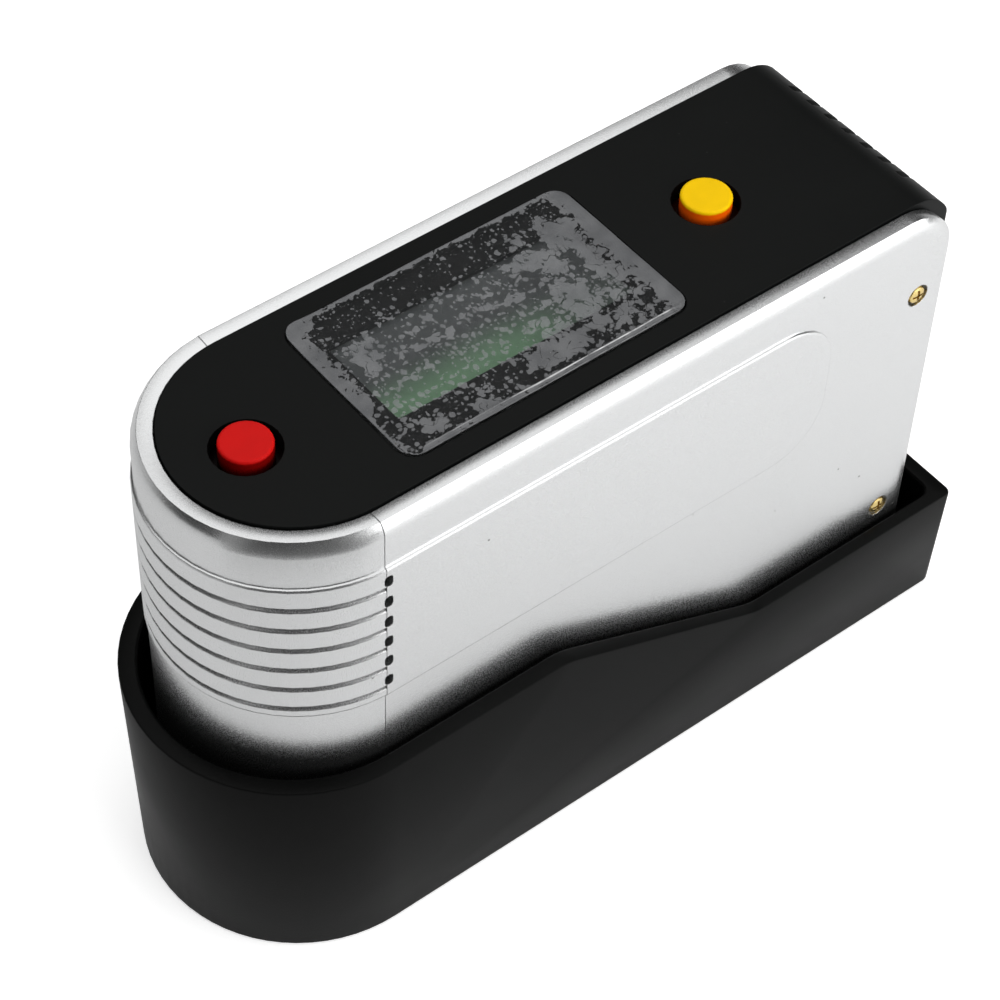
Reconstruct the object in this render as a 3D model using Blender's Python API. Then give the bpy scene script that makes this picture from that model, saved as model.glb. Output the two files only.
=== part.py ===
"""Hand-held gloss meter standing in its calibration holder.

Lengths are in metres, +Z is up and +X runs from the round nose to the square rear.
The meter is modelled about the axis of its nose, down from the top of its cover.
The holder is modelled about the same axis, up from the surface it stands on.
"""
import math

import bmesh
import bpy
from mathutils import Vector

MM = 0.001

# Meter case
COVER_HALF = 15.5 * MM        # half width of the black cover, and the radius of its nose
COVER_WALL = 2.2 * MM
CASE_REAR = 85.3 * MM         # nose axis to the rear face of the silver shells
CASE_HEIGHT = 66.3 * MM
SHELL_ROLL = 7.6 * MM         # radius of the shells' upper rear corner
COVER_PROUD = 1.5 * MM        # cover past the shells at the rear
COVER_ROLL = 7.0 * MM         # radius of the edge where the cover turns down the rear
COVER_CORNER = 1.0 * MM       # radius of the cover's rear corners in plan
COVER_FIT = 0.1 * MM          # half of the joint line between the cover and the silver pieces
SEAM_X = -1.0 * MM            # joint between the nose cap and the side shells
SEAM_FIT = 0.03 * MM          # half of that joint line
LEDGE_WIDTH = 1.95 * MM       # silver ledge around the cover
LEDGE_DIP = 0.32 * MM         # depth of the ledge at the cover
LEDGE_DROP = 0.17 * MM        # depth of the ledge at its outer crease
LEDGE_CROWN = 0.05 * MM
SHOULDER_WIDTH = 0.8 * MM     # crease to the upright wall
SHOULDER_DROP = 2.1 * MM
WALL = 1.6 * MM
FOOT_EDGE = 0.5 * MM
RIB_COUNT = 3                 # ribs between the pockets inside a side shell
RIB_WIDTH = 1.5 * MM
POCKET_FRONT = 3.0 * MM       # joint to the first pocket
POCKET_REAR = 9.0 * MM        # last pocket to the rear face
POCKET_END = 6.0 * MM         # pockets to the top and the foot of the case
POCKET_CORNER = 2.0 * MM

# Raised band, its grip grooves and the holes at their ends
BAND_PROUD = 0.35 * MM        # also the radius of the band's edge
BAND_TOP = 7.05 * MM
BAND_LAST = 1.4 * MM          # last groove to the foot of the band
BAND_END_X = 65.6 * MM
BAND_CORNER = 7.7 * MM
GROOVE_COUNT = 6
GROOVE_START = 3.35 * MM      # top of the band to the first groove
GROOVE_PITCH = 3.52 * MM
GROOVE_WIDTH = 0.7 * MM
GROOVE_DEPTH = 0.4 * MM
GROOVE_EDGE = 0.16 * MM       # rounding of the lower edge of each groove
END_HOLE_SHIFT = 0.3 * MM     # hole centre behind the joint
END_HOLE_WIDTH = 1.15 * MM
END_HOLE_HEIGHT = 1.8 * MM
END_HOLE_RISE = 1.2 * MM      # hole centre above its groove

# Finger grooves over the rear edge of the cover
REAR_GROOVE_COUNT = 7
REAR_GROOVE_PITCH = 3.25 * MM
REAR_GROOVE_WIDTH = 1.3 * MM
REAR_GROOVE_DEPTH = 0.6 * MM
REAR_GROOVE_START = 60.0      # degrees round the roll, 90 being the top
REAR_GROOVE_RUNOUT = 12.0     # degrees in which a groove comes up to the surface
REAR_GROOVE_FOOT = 30.0 * MM

# Display
WINDOW_X = 27.1 * MM          # centre of the window
WINDOW_LENGTH = 41.4 * MM
WINDOW_WIDTH = 25.3 * MM
WINDOW_CORNER = 2.6 * MM
WINDOW_FIT = 0.2 * MM
WINDOW_THICK = 1.2 * MM
WINDOW_SUNK = 0.1 * MM
WINDOW_SEAT = 0.3 * MM
FILM_THICK = 0.12 * MM
FILM_GAP = 0.05 * MM
FILM_INSET = 0.05 * MM
VIEW_SHIFT = 0.65 * MM        # view behind the middle of the window
VIEW_Y = 1.4 * MM
VIEW_LENGTH = 34.7 * MM
VIEW_WIDTH = 13.6 * MM
VIEW_CORNER = 0.5 * MM
GLASS_MARGIN = 1.4 * MM       # display glass past the view on each side
GLASS_THICK = 2.4 * MM
FRAME_END = 2.45 * MM         # frame past the display glass at its ends
FRAME_SIDE = 4.2 * MM         # and at its sides
FRAME_SHELF = 1.5 * MM
FRAME_CORNER = 1.0 * MM

# Buttons and switches
RED_X = -6.45 * MM
YELLOW_BEHIND = 12.4 * MM     # rear of the window to the yellow button
BUTTON_RADIUS = 3.2 * MM
BUTTON_PROUD = 1.05 * MM
BUTTON_EDGE = 0.3 * MM
BUTTON_GAP = 1.05 * MM        # button to the edge of its hole
BUTTON_LIP = 0.85 * MM        # flange past the hole
BUTTON_FLANGE_THICK = 0.9 * MM
BUTTON_STEM = 1.7 * MM
BUTTON_STEM_LENGTH = 1.4 * MM
BUTTON_TRAVEL = 0.7 * MM
SWITCH_SIZE = 6.2 * MM
SWITCH_FLOOR = 0.35 * MM
SWITCH_CORNER = 0.6 * MM
PLUNGER_RADIUS = 1.6 * MM
PLUNGER_PROUD = 1.0 * MM
PLUNGER_DEPTH = 1.2 * MM      # plunger below the top of its switch
PLUNGER_FIT = 0.15 * MM       # left under the plunger at full travel

# Circuit board, hung under the cover on four posts
BOARD_THICK = 1.6 * MM
BOARD_SIDE = 1.1 * MM         # board inside the edge of the cover
BOARD_BEHIND = 2.6 * MM       # board to the side screw bosses
BOARD_CORNER = 1.0 * MM
POST_RADIUS = 1.9 * MM
POST_AHEAD = 3.1 * MM         # front posts to the display frame
POST_INSET = 2.4 * MM         # post axis to the side of the board
POST_REAR_INSET = 5.5 * MM    # post axis to the rear of the board
CHIP_X = 27.0 * MM
CHIP_SIZE = 12.0 * MM
CHIP_THICK = 1.5 * MM
CHIP_CORNER = 0.4 * MM

# Cell and the frame that carries it
CELL_RADIUS = 7.25 * MM
CELL_LENGTH = 49.5 * MM
CELL_NUB = 1.0 * MM
CELL_NUB_RADIUS = 2.75 * MM
CELL_EDGE = 0.5 * MM
CELL_FRONT = -10.4 * MM       # shoulder of the cell
CELL_ROOM = 1.55 * MM         # processor to the cell
CELL_FIT = 0.3 * MM
TRAY_WALL = 1.6 * MM
TRAY_LIP = 2.0 * MM           # tray edge above the cell axis
FRAME_INSET = 0.8 * MM        # frame inside the side shells
FRAME_LEG = 1.6 * MM
FRAME_FRONT = 1.0 * MM
FRAME_END_WALL = 1.8 * MM
FRAME_END_STEP = 0.2 * MM     # end wall back from the end of the tray
FRAME_END_INSET = 0.5 * MM    # end wall inside the tray's outside
FRAME_END_CORNER = 2.0 * MM
SPRING_LENGTH = 4.6 * MM
SPRING_WIRE = 0.7 * MM
SPRING_TURNS = 3.5
SPRING_BIG = 4.6 * MM
SPRING_SMALL = 2.6 * MM
CONTACT_SIZE = 9.0 * MM
CONTACT_THICK = 0.4 * MM
CONTACT_CORNER = 1.5 * MM

# Optics, two barrels aimed at the middle of the aperture
BASE_THICK = 2.4 * MM
BASE_REAR_FIT = 0.3 * MM
BASE_CORNER = 0.6 * MM
APERTURE_BEHIND = 47.3 * MM   # middle of the aperture to the rear face
APERTURE_LENGTH = 26.0 * MM
APERTURE_WIDTH = 11.0 * MM
APERTURE_FLAT = 0.2 * MM      # left straight at each end of the aperture
MEASURING_ANGLE = 60.0        # degrees from upright
BARREL_WALL = 1.5 * MM
BARREL_START = 12.0 * MM      # from the measured point
LENS_RADIUS = 3.8 * MM
SEAT_LEDGE = 1.3 * MM         # step from the seat to the bore
SEAT_START = 20.0 * MM
OPTIC_FIT = 0.3 * MM
LENS_THICK = 2.2 * MM
LENS_EDGE = 1.2 * MM
SPACER_LENGTH = 4.4 * MM
SPACER_WALL = 0.9 * MM
SLIT_THICK = 0.6 * MM
SLIT_WIDTH = 0.8 * MM
SLIT_HEIGHT = 3.0 * MM
FILTER_THICK = 1.5 * MM
SENSOR_LENGTH = 8.3 * MM
SENSOR_EDGE = 0.2 * MM
SENSOR_PROUD = 1.5 * MM       # sensor past the end of its barrel
LAMP_DOME = 2.36 * MM         # radius of the lamp's dome
LAMP_DOME_HEIGHT = 4.2 * MM
LAMP_COLLAR = 5.4 * MM
LAMP_PROUD = 1.0 * MM
BLOCK_LENGTH = 34.0 * MM
BLOCK_WIDTH = 20.0 * MM
BLOCK_HEIGHT = 17.0 * MM
FLANGE_LENGTH = 60.0 * MM
FLANGE_WIDTH = 25.6 * MM
FLANGE_THICK = 3.0 * MM
FLANGE_CORNER = 2.0 * MM

# Screws
SIDE_SCREW_BEHIND = 5.1 * MM  # screw axis to the rear face
SIDE_SCREW_TOP = 13.1 * MM    # upper screw below the top of the cover
SIDE_SCREW_FOOT = 14.1 * MM   # lower screw above the foot of the case
SCREW_HEAD = 1.35 * MM
SCREW_HEAD_THICK = 0.9 * MM
SCREW_SHANK = 0.85 * MM
SIDE_SCREW_LENGTH = 8.0 * MM
SCREW_FIT = 0.3 * MM
SCREW_SINK = 1.05 * MM        # depth of the counterbore in the shell
SCREW_BOSS = 2.6 * MM
SCREW_SLOT = 0.36 * MM
SCREW_SLOT_REACH = 0.85 * MM  # half length of the cross
BASE_SCREW_LENGTH = 4.5 * MM
BASE_SCREW_END = 3.5 * MM     # screw axis to the end of the flange
BASE_SCREW_SIDE = 2.2 * MM    # and to its side
BOARD_SCREW_LENGTH = 4.6 * MM

# Holder
HOLDER_NOSE_X = -1.14 * MM
HOLDER_SIDE_GAP = 0.72 * MM   # meter to the inside of the rim
HOLDER_REAR_GAP = 2.65 * MM
HOLDER_DRAFT = 0.94 * MM      # each side narrows by this from the front rim to the foot
HOLDER_REAR_DRAFT = 0.35 * MM
HOLDER_RIM = 2.4 * MM         # wall at the rim
HOLDER_CORNER = 1.0 * MM
HOLDER_INNER_CORNER = 1.5 * MM
HOLDER_FOOT_EDGE = 0.5 * MM
HOLDER_RIM_EDGE = 0.3 * MM
HOLDER_FLOOR = 2.8 * MM
HOLDER_FLOOR_EDGE = 0.8 * MM
RIM_FRONT = 33.5 * MM         # height of the rim round the nose
RIM_REAR = 18.7 * MM
RIM_SLOPE_START = 24.4 * MM
RIM_SLOPE_END = 57.0 * MM
RIM_BLEND = 1.5 * MM          # half length of the blends at both ends of the slope
RAIL_WIDTH = 2.0 * MM
RAIL_FRONT = 2.0 * MM
RAIL_BEHIND = 5.6 * MM        # rails to the rear of the meter
RAIL_CORNER = 0.6 * MM
TILE_LENGTH = 36.0 * MM
TILE_WIDTH = 22.0 * MM
TILE_THICK = 2.6 * MM
TILE_CORNER = 0.8 * MM
PAD_THICK = 0.86 * MM
SEAT_GAP = 0.3 * MM
TILE_CURB = 1.4 * MM          # width of the curb round the tile

# Worked out from the sizes above
LEDGE_INNER = COVER_HALF + COVER_FIT
CREASE_HALF = COVER_HALF + LEDGE_WIDTH
WALL_HALF = CREASE_HALF + SHOULDER_WIDTH
TOE_DROP = LEDGE_DROP + SHOULDER_DROP
BAND_HALF = WALL_HALF + BAND_PROUD
GROOVE_FIRST = BAND_TOP + GROOVE_START
BAND_FOOT = GROOVE_FIRST + (GROOVE_COUNT - 1) * GROOVE_PITCH + BAND_LAST
COVER_REAR = CASE_REAR + COVER_PROUD
FLOOR_DEPTH = CASE_HEIGHT - BASE_THICK

VIEW_X = WINDOW_X + VIEW_SHIFT
GLASS_LENGTH = VIEW_LENGTH + 2.0 * GLASS_MARGIN
GLASS_WIDTH = VIEW_WIDTH + 2.0 * GLASS_MARGIN
FRAME_LENGTH = GLASS_LENGTH + 2.0 * (SEAT_GAP + FRAME_END)
FRAME_WIDTH = GLASS_WIDTH + 2.0 * (SEAT_GAP + FRAME_SIDE)

YELLOW_X = WINDOW_X + 0.5 * WINDOW_LENGTH + YELLOW_BEHIND
BUTTON_HOLE = BUTTON_RADIUS + BUTTON_GAP
BUTTON_FLANGE = BUTTON_HOLE + BUTTON_LIP
FLANGE_DEPTH = COVER_WALL + SEAT_GAP + BUTTON_FLANGE_THICK
PLUNGER_TOP_DEPTH = FLANGE_DEPTH + BUTTON_STEM_LENGTH + SEAT_GAP
SWITCH_HEIGHT = PLUNGER_DEPTH + BUTTON_TRAVEL + PLUNGER_FIT + SWITCH_FLOOR
BOARD_DEPTH = PLUNGER_TOP_DEPTH + PLUNGER_PROUD + SWITCH_HEIGHT + SEAT_GAP

SIDE_SCREW_X = CASE_REAR - SIDE_SCREW_BEHIND
SIDE_SCREW_DEPTHS = (SIDE_SCREW_TOP, CASE_HEIGHT - SIDE_SCREW_FOOT)
BOARD_HALF = COVER_HALF - BOARD_SIDE
BOARD_REAR = SIDE_SCREW_X - SCREW_BOSS - BOARD_BEHIND
POST_Y = BOARD_HALF - POST_INSET
POST_FRONT_X = VIEW_X - 0.5 * FRAME_LENGTH - POST_AHEAD - POST_RADIUS
POST_REAR_X = BOARD_REAR - POST_REAR_INSET

CELL_DEPTH = BOARD_DEPTH + BOARD_THICK + SEAT_GAP + CHIP_THICK + CELL_ROOM + CELL_RADIUS
FRAME_HALF = LEDGE_INNER - FRAME_INSET

APERTURE_X = CASE_REAR - APERTURE_BEHIND
SEAT_RADIUS = LENS_RADIUS + OPTIC_FIT
BORE_RADIUS = SEAT_RADIUS - SEAT_LEDGE
BARREL_RADIUS = SEAT_RADIUS + BARREL_WALL
SENSOR_START = SEAT_START + LENS_THICK + SPACER_LENGTH + SLIT_THICK + FILTER_THICK + 5.0 * OPTIC_FIT
BARREL_REACH = SENSOR_START + SENSOR_LENGTH - SENSOR_PROUD
BASE_SCREW_X = 0.5 * FLANGE_LENGTH - BASE_SCREW_END
BASE_SCREW_Y = 0.5 * FLANGE_WIDTH - BASE_SCREW_SIDE

RAIL_HEIGHT = TILE_THICK + PAD_THICK + 2.0 * SEAT_GAP
RAIL_Y = 0.5 * TILE_WIDTH + SEAT_GAP + TILE_CURB + 0.45 * RAIL_WIDTH
METER_SEAT = HOLDER_FLOOR + RAIL_HEIGHT
TOP_HEIGHT = METER_SEAT + SEAT_GAP + CASE_HEIGHT
HOLDER_HALF = WALL_HALF + HOLDER_SIDE_GAP + HOLDER_RIM
HOLDER_FOOT_HALF = HOLDER_HALF - HOLDER_DRAFT
HOLDER_FRONT = HOLDER_NOSE_X - HOLDER_HALF
HOLDER_REAR = COVER_REAR + HOLDER_REAR_GAP + HOLDER_RIM
MIDDLE_X = 0.5 * (HOLDER_FRONT + HOLDER_REAR)
OVERSHOOT = 1.0 * MM

# Facets
NOSE_STEPS = 25
COVER_STEPS = 34
BUTTON_STEPS = 26
DISC_STEPS = 16
HOLE_STEPS = 10


def remove_everything():
    for item in list(bpy.data.objects):
        bpy.data.objects.remove(item, do_unlink=True)


def finish(name, colour, roughness, metallic=0.0, alpha=1.0):
    surface = bpy.data.materials.new(name)
    surface.use_nodes = True
    shader = surface.node_tree.nodes["Principled BSDF"]
    shader.inputs["Base Color"].default_value = (*colour, 1.0)
    shader.inputs["Roughness"].default_value = roughness
    shader.inputs["Metallic"].default_value = metallic
    shader.inputs["Alpha"].default_value = alpha
    surface.diffuse_color = (*colour, alpha)
    return surface


def place(name, mesh, surface, parent, location=(0.0, 0.0, 0.0), rotation=None, smooth=35.0):
    """Put a mesh in the scene as one named piece."""
    item = bpy.data.objects.new(name, mesh)
    bpy.context.scene.collection.objects.link(item)
    item.parent = parent
    item.location = location
    if rotation is not None:
        item.rotation_euler = rotation
    if surface is not None:
        mesh.materials.clear()
        mesh.materials.append(surface)
    if smooth:
        mesh.shade_smooth()
        mesh.set_sharp_from_angle(angle=math.radians(smooth))
    return item


def mesh_from(bm, name):
    bmesh.ops.recalc_face_normals(bm, faces=bm.faces)
    mesh = bpy.data.meshes.new(name)
    bm.to_mesh(mesh)
    bm.free()
    return mesh


def add_rings(bm, rings, capped=True):
    """Join matching rings of points into one closed skin."""
    loops = [[bm.verts.new(point) for point in ring] for ring in rings]
    count = len(loops[0])
    pairs = list(zip(loops, loops[1:]))
    if not capped:
        pairs.append((loops[-1], loops[0]))
    for lower, upper in pairs:
        for i in range(count):
            j = (i + 1) % count
            bm.faces.new((lower[i], lower[j], upper[j], upper[i]))
    if capped:
        bm.faces.new(loops[0])
        bm.faces.new(loops[-1])


def ring_mesh(name, rings, capped=True):
    bm = bmesh.new()
    add_rings(bm, rings, capped)
    return mesh_from(bm, name)


def arc(cx, cy, radius, start, end, steps):
    """Points on an arc, angles in degrees, both ends included."""
    points = []
    for i in range(steps + 1):
        angle = math.radians(start + (end - start) * i / steps)
        points.append((cx + radius * math.cos(angle), cy + radius * math.sin(angle)))
    return points


def rounded_rectangle(cx, cy, length, width, corner, steps=4):
    x = 0.5 * length - corner
    y = 0.5 * width - corner
    points = []
    for sx, sy, start in ((1, 1, 0), (-1, 1, 90), (-1, -1, 180), (1, -1, 270)):
        points += arc(cx + sx * x, cy + sy * y, corner, start, start + 90, steps)
    return points


def plate(bm, outline, low, high, axis="Z"):
    """Extrude a flat outline between two levels of one axis."""
    rings = []
    for level in (low, high):
        if axis == "Z":
            rings.append([(a, b, level) for a, b in outline])
        elif axis == "Y":
            rings.append([(a, level, b) for a, b in outline])
        else:
            rings.append([(level, a, b) for a, b in outline])
    add_rings(bm, rings)


def plate_mesh(name, outline, low, high, axis="Z"):
    bm = bmesh.new()
    plate(bm, outline, low, high, axis)
    return mesh_from(bm, name)


def box(bm, low, high):
    outline = [(low[0], low[1]), (high[0], low[1]), (high[0], high[1]), (low[0], high[1])]
    plate(bm, outline, low[2], high[2])


def turned_mesh(name, profile, steps=24):
    """Turn a profile of (radius, height) about Z, closing it at both ends on the axis."""
    bm = bmesh.new()
    rings = []
    for radius, height in profile:
        ring = []
        for i in range(steps):
            angle = math.tau * i / steps
            ring.append((radius * math.cos(angle), radius * math.sin(angle), height))
        rings.append(ring)
    add_rings(bm, rings)
    return mesh_from(bm, name)


def tube_mesh(name, profile, steps=24):
    """Turn a closed section of (radius, height) about Z."""
    rings = []
    for i in range(steps):
        angle = math.tau * i / steps
        rings.append([(r * math.cos(angle), r * math.sin(angle), z) for r, z in profile])
    return ring_mesh(name, rings, capped=False)


def cutter(name, mesh, parent, location=(0.0, 0.0, 0.0), rotation=None):
    item = place(name, mesh, None, parent, location, rotation, smooth=0)
    item.hide_render = True
    item.display_type = 'WIRE'
    return item


def combine(item, tool, operation):
    step = item.modifiers.new(tool.name, 'BOOLEAN')
    step.operation = operation
    step.object = tool


def plan(half, nose_x, rear, corner, nose_steps=32, corner_steps=4):
    """Plan of the case or holder: a half round nose and a square rear with round corners."""
    points = arc(rear - corner, half - corner, corner, 0, 90, corner_steps)
    points += arc(nose_x, 0.0, half, 90, 270, nose_steps)
    points += arc(rear - corner, corner - half, corner, 270, 360, corner_steps)
    return points


def edge_section():
    """Section of the silver edge, as (half width, depth) from the cover out to the wall."""
    points = []
    steps = 4
    for i in range(steps + 1):
        t = i / steps
        crown = 4.0 * LEDGE_CROWN * t * (1.0 - t)
        depth = LEDGE_DIP + (LEDGE_DROP - LEDGE_DIP) * t - crown
        points.append((LEDGE_INNER + (CREASE_HALF - LEDGE_INNER) * t, depth))
    sweep = 2.0 * math.atan2(SHOULDER_WIDTH, SHOULDER_DROP)
    radius = SHOULDER_DROP / math.sin(sweep)
    steps = 5
    for i in range(1, steps + 1):
        angle = sweep * (1.0 - i / steps)
        half = WALL_HALF - radius * (1.0 - math.cos(angle))
        points.append((half, TOE_DROP - radius * math.sin(angle)))
    return points


def groove_depths():
    return [GROOVE_FIRST + GROOVE_PITCH * i for i in range(GROOVE_COUNT)]


def band_edge():
    """Quarter round of the band's edge, from the wall out, as (reach past the face, height)."""
    return arc(0.0, 0.0, BAND_PROUD, 0, 90, 2)


# Silver nose cap
def nose_section():
    section = [(half, -depth) for half, depth in edge_section()]
    face_top = -BAND_TOP - BAND_PROUD
    section += [(WALL_HALF + height, face_top + reach) for reach, height in band_edge()]
    for depth in groove_depths():
        foot = -depth - 0.5 * GROOVE_WIDTH
        section.append((BAND_HALF, -depth + 0.5 * GROOVE_WIDTH))
        section.append((BAND_HALF - GROOVE_DEPTH, -depth + 0.2 * GROOVE_WIDTH))
        section.append((BAND_HALF - GROOVE_DEPTH, -depth - 0.2 * GROOVE_WIDTH))
        section.append((BAND_HALF - 0.5 * GROOVE_EDGE, foot))
        section.append((BAND_HALF, foot - GROOVE_EDGE))
    section += [(WALL_HALF + height, -BAND_FOOT - reach) for reach, height in reversed(band_edge())]
    section.append((WALL_HALF, -CASE_HEIGHT + FOOT_EDGE))
    section.append((WALL_HALF - FOOT_EDGE, -CASE_HEIGHT))
    section.append((WALL_HALF - WALL, -CASE_HEIGHT))
    section.append((WALL_HALF - WALL, -COVER_WALL - WALL))
    section.append((LEDGE_INNER, -COVER_WALL))
    return section


def nose_cap(parent, surface):
    steps = NOSE_STEPS
    face_x = SEAM_X - SEAM_FIT
    rings = []
    for i in range(steps + 1):
        ring = []
        for radius, height in nose_section():
            back = math.asin(-face_x / radius)
            angle = 0.5 * math.pi + back + (math.pi - 2.0 * back) * i / steps
            ring.append((radius * math.cos(angle), radius * math.sin(angle), height))
        rings.append(ring)
    cap = place("nose_cap", ring_mesh("nose_cap", rings), surface, parent)
    inner = WALL_HALF - WALL
    boss_end = CELL_FRONT - CELL_NUB - CELL_FIT - CONTACT_THICK - CELL_FIT
    outline = rounded_rectangle(0.0, -CELL_DEPTH, CONTACT_SIZE, CONTACT_SIZE, CONTACT_CORNER, 3)
    boss = cutter("nose_cap_boss", plate_mesh("nose_cap_boss", outline, -inner - 0.5 * WALL,
                                              boss_end, "X"), parent)
    combine(cap, boss, 'UNION')
    bm = bmesh.new()
    for side in (-1, 1):
        end_hole_cutters(bm, side)
    holes = cutter("nose_cap_holes", mesh_from(bm, "nose_cap_holes"), parent)
    combine(cap, holes, 'DIFFERENCE')
    return boss_end


# Silver side shells
def side_outline(drop):
    """Side view of a shell at one depth below the outside, as (x, z)."""
    front = SEAM_X + SEAM_FIT
    points = [(front, -CASE_HEIGHT + FOOT_EDGE), (front, -drop)]
    points += arc(CASE_REAR - SHELL_ROLL, -SHELL_ROLL, SHELL_ROLL - drop, 90, 0, 8)
    points.append((CASE_REAR - drop, -CASE_HEIGHT + FOOT_EDGE))
    return points


def foot_outline(drop, inset):
    points = side_outline(drop)
    foot = -CASE_HEIGHT + FOOT_EDGE - inset
    return [(points[0][0], foot)] + points[1:-1] + [(points[-1][0], foot)]


def band_outline(reach):
    """Side view of the band, grown by its edge's reach past the face."""
    top = -BAND_TOP - BAND_PROUD + reach
    foot = -BAND_FOOT - reach
    end = BAND_END_X + reach
    corner = BAND_CORNER + reach
    front = SEAM_X + SEAM_FIT
    points = [(front, foot)]
    points += arc(end - corner, foot + corner, corner, 270, 360, 8)
    points += arc(end - corner, top - corner, corner, 0, 90, 8)
    points.append((front, top))
    return points


def end_hole_cutters(bm, side):
    """Holes across the joint, one at the end of each groove."""
    for depth in groove_depths():
        outline = rounded_rectangle(SEAM_X + END_HOLE_SHIFT, -depth + END_HOLE_RISE,
                                    END_HOLE_WIDTH, END_HOLE_HEIGHT, 0.45 * END_HOLE_WIDTH, 2)
        levels = (side * (COVER_HALF - OVERSHOOT), side * (BAND_HALF + OVERSHOOT))
        plate(bm, outline, min(levels), max(levels), "Y")


def shell_pocket_cutters(bm, side):
    """Shallow pockets inside the shell, with ribs left between them."""
    front = SEAM_X + POCKET_FRONT
    rear = CASE_REAR - POCKET_REAR
    bay = (rear - front - RIB_COUNT * RIB_WIDTH) / (RIB_COUNT + 1)
    levels = (side * (LEDGE_INNER - OVERSHOOT), side * (WALL_HALF - WALL))
    for i in range(RIB_COUNT + 1):
        start = front + i * (bay + RIB_WIDTH)
        outline = rounded_rectangle(start + 0.5 * bay, -0.5 * CASE_HEIGHT, bay,
                                    CASE_HEIGHT - 2.0 * POCKET_END, POCKET_CORNER, 3)
        plate(bm, outline, min(levels), max(levels), "Y")


def round_outline(cx, cy, radius, steps=16):
    return arc(cx, cy, radius, 0, 360, steps)[:-1]


def side_shell(name, side, parent, surface):
    rings = []
    section = edge_section()
    rings.append([(x, side * LEDGE_INNER, z) for x, z in foot_outline(section[0][1], FOOT_EDGE)])
    for half, depth in section[1:]:
        rings.append([(x, side * half, z) for x, z in foot_outline(depth, FOOT_EDGE)])
    last_half, last_depth = section[-1]
    rings[-1] = [(x, side * last_half, z) for x, z in foot_outline(last_depth, 0.0)]
    shell = place(name, ring_mesh(name, rings), surface, parent)

    rings = [[(x, side * (WALL_HALF - 0.5 * WALL), z) for x, z in band_outline(BAND_PROUD)]]
    for reach, height in band_edge():
        rings.append([(x, side * (WALL_HALF + height), z) for x, z in band_outline(reach)])
    band = cutter(name + "_band", ring_mesh(name + "_band", rings), parent)
    combine(shell, band, 'UNION')

    bm = bmesh.new()
    end_hole_cutters(bm, side)
    shell_pocket_cutters(bm, side)
    for depth in SIDE_SCREW_DEPTHS:
        sink = (side * (WALL_HALF - SCREW_SINK), side * (WALL_HALF + OVERSHOOT))
        plate(bm, round_outline(SIDE_SCREW_X, -depth, SCREW_HEAD + SCREW_FIT),
              min(sink), max(sink), "Y")
    holes = cutter(name + "_cuts", mesh_from(bm, name + "_cuts"), parent)
    combine(shell, holes, 'DIFFERENCE')
    bm = bmesh.new()
    for depth in SIDE_SCREW_DEPTHS:
        through = (side * (COVER_HALF - OVERSHOOT), side * (WALL_HALF - 0.5 * SCREW_SINK))
        plate(bm, round_outline(SIDE_SCREW_X, -depth, SCREW_SHANK + SCREW_FIT, HOLE_STEPS),
              min(through), max(through), "Y")
    shanks = cutter(name + "_shank_holes", mesh_from(bm, name + "_shank_holes"), parent)
    combine(shell, shanks, 'DIFFERENCE')


# Black cover, one moulding over the top and down the rear
def cover_profile():
    inner = COVER_ROLL - COVER_WALL
    centre = COVER_REAR - COVER_ROLL
    points = [(-COVER_HALF - OVERSHOOT, 0.0)]
    points += arc(centre, -COVER_ROLL, COVER_ROLL, 90, 0, 10)
    points.append((COVER_REAR, -CASE_HEIGHT))
    points.append((COVER_REAR - COVER_WALL, -CASE_HEIGHT))
    points += arc(centre, -COVER_ROLL, inner, 0, 90, 5)
    points.append((-COVER_HALF - OVERSHOOT, -COVER_WALL))
    return points


def cover_plan(half):
    """Plan that rounds the nose of the cover and its rear corners, clear of its sides."""
    wide = half + OVERSHOOT
    centre = COVER_REAR - COVER_CORNER
    outline = arc(0.0, 0.0, half, 90, 270, COVER_STEPS)
    outline += [(0.0, -wide), (centre, -wide)]
    outline += arc(centre, COVER_CORNER - half, COVER_CORNER, 270, 360, 5)
    outline += arc(centre, half - COVER_CORNER, COVER_CORNER, 0, 90, 5)
    return outline + [(centre, wide), (0.0, wide)]


def rear_groove_cutters(bm):
    depth = REAR_GROOVE_DEPTH
    centre = COVER_REAR - COVER_ROLL
    start = REAR_GROOVE_START
    foot = -REAR_GROOVE_FOOT
    outline = arc(centre, -COVER_ROLL, COVER_ROLL - depth, 0, start, 5)
    outline += arc(centre, -COVER_ROLL, COVER_ROLL + OVERSHOOT, start + REAR_GROOVE_RUNOUT, 0, 5)
    outline += [(COVER_REAR + OVERSHOOT, foot - depth - OVERSHOOT), (COVER_REAR - depth, foot)]
    first = -0.5 * (REAR_GROOVE_COUNT - 1) * REAR_GROOVE_PITCH
    for i in range(REAR_GROOVE_COUNT):
        y = first + i * REAR_GROOVE_PITCH
        plate(bm, outline, y - 0.5 * REAR_GROOVE_WIDTH, y + 0.5 * REAR_GROOVE_WIDTH, "Y")


def board_posts():
    return [(x, side * POST_Y) for x in (POST_FRONT_X, POST_REAR_X) for side in (-1, 1)]


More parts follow.
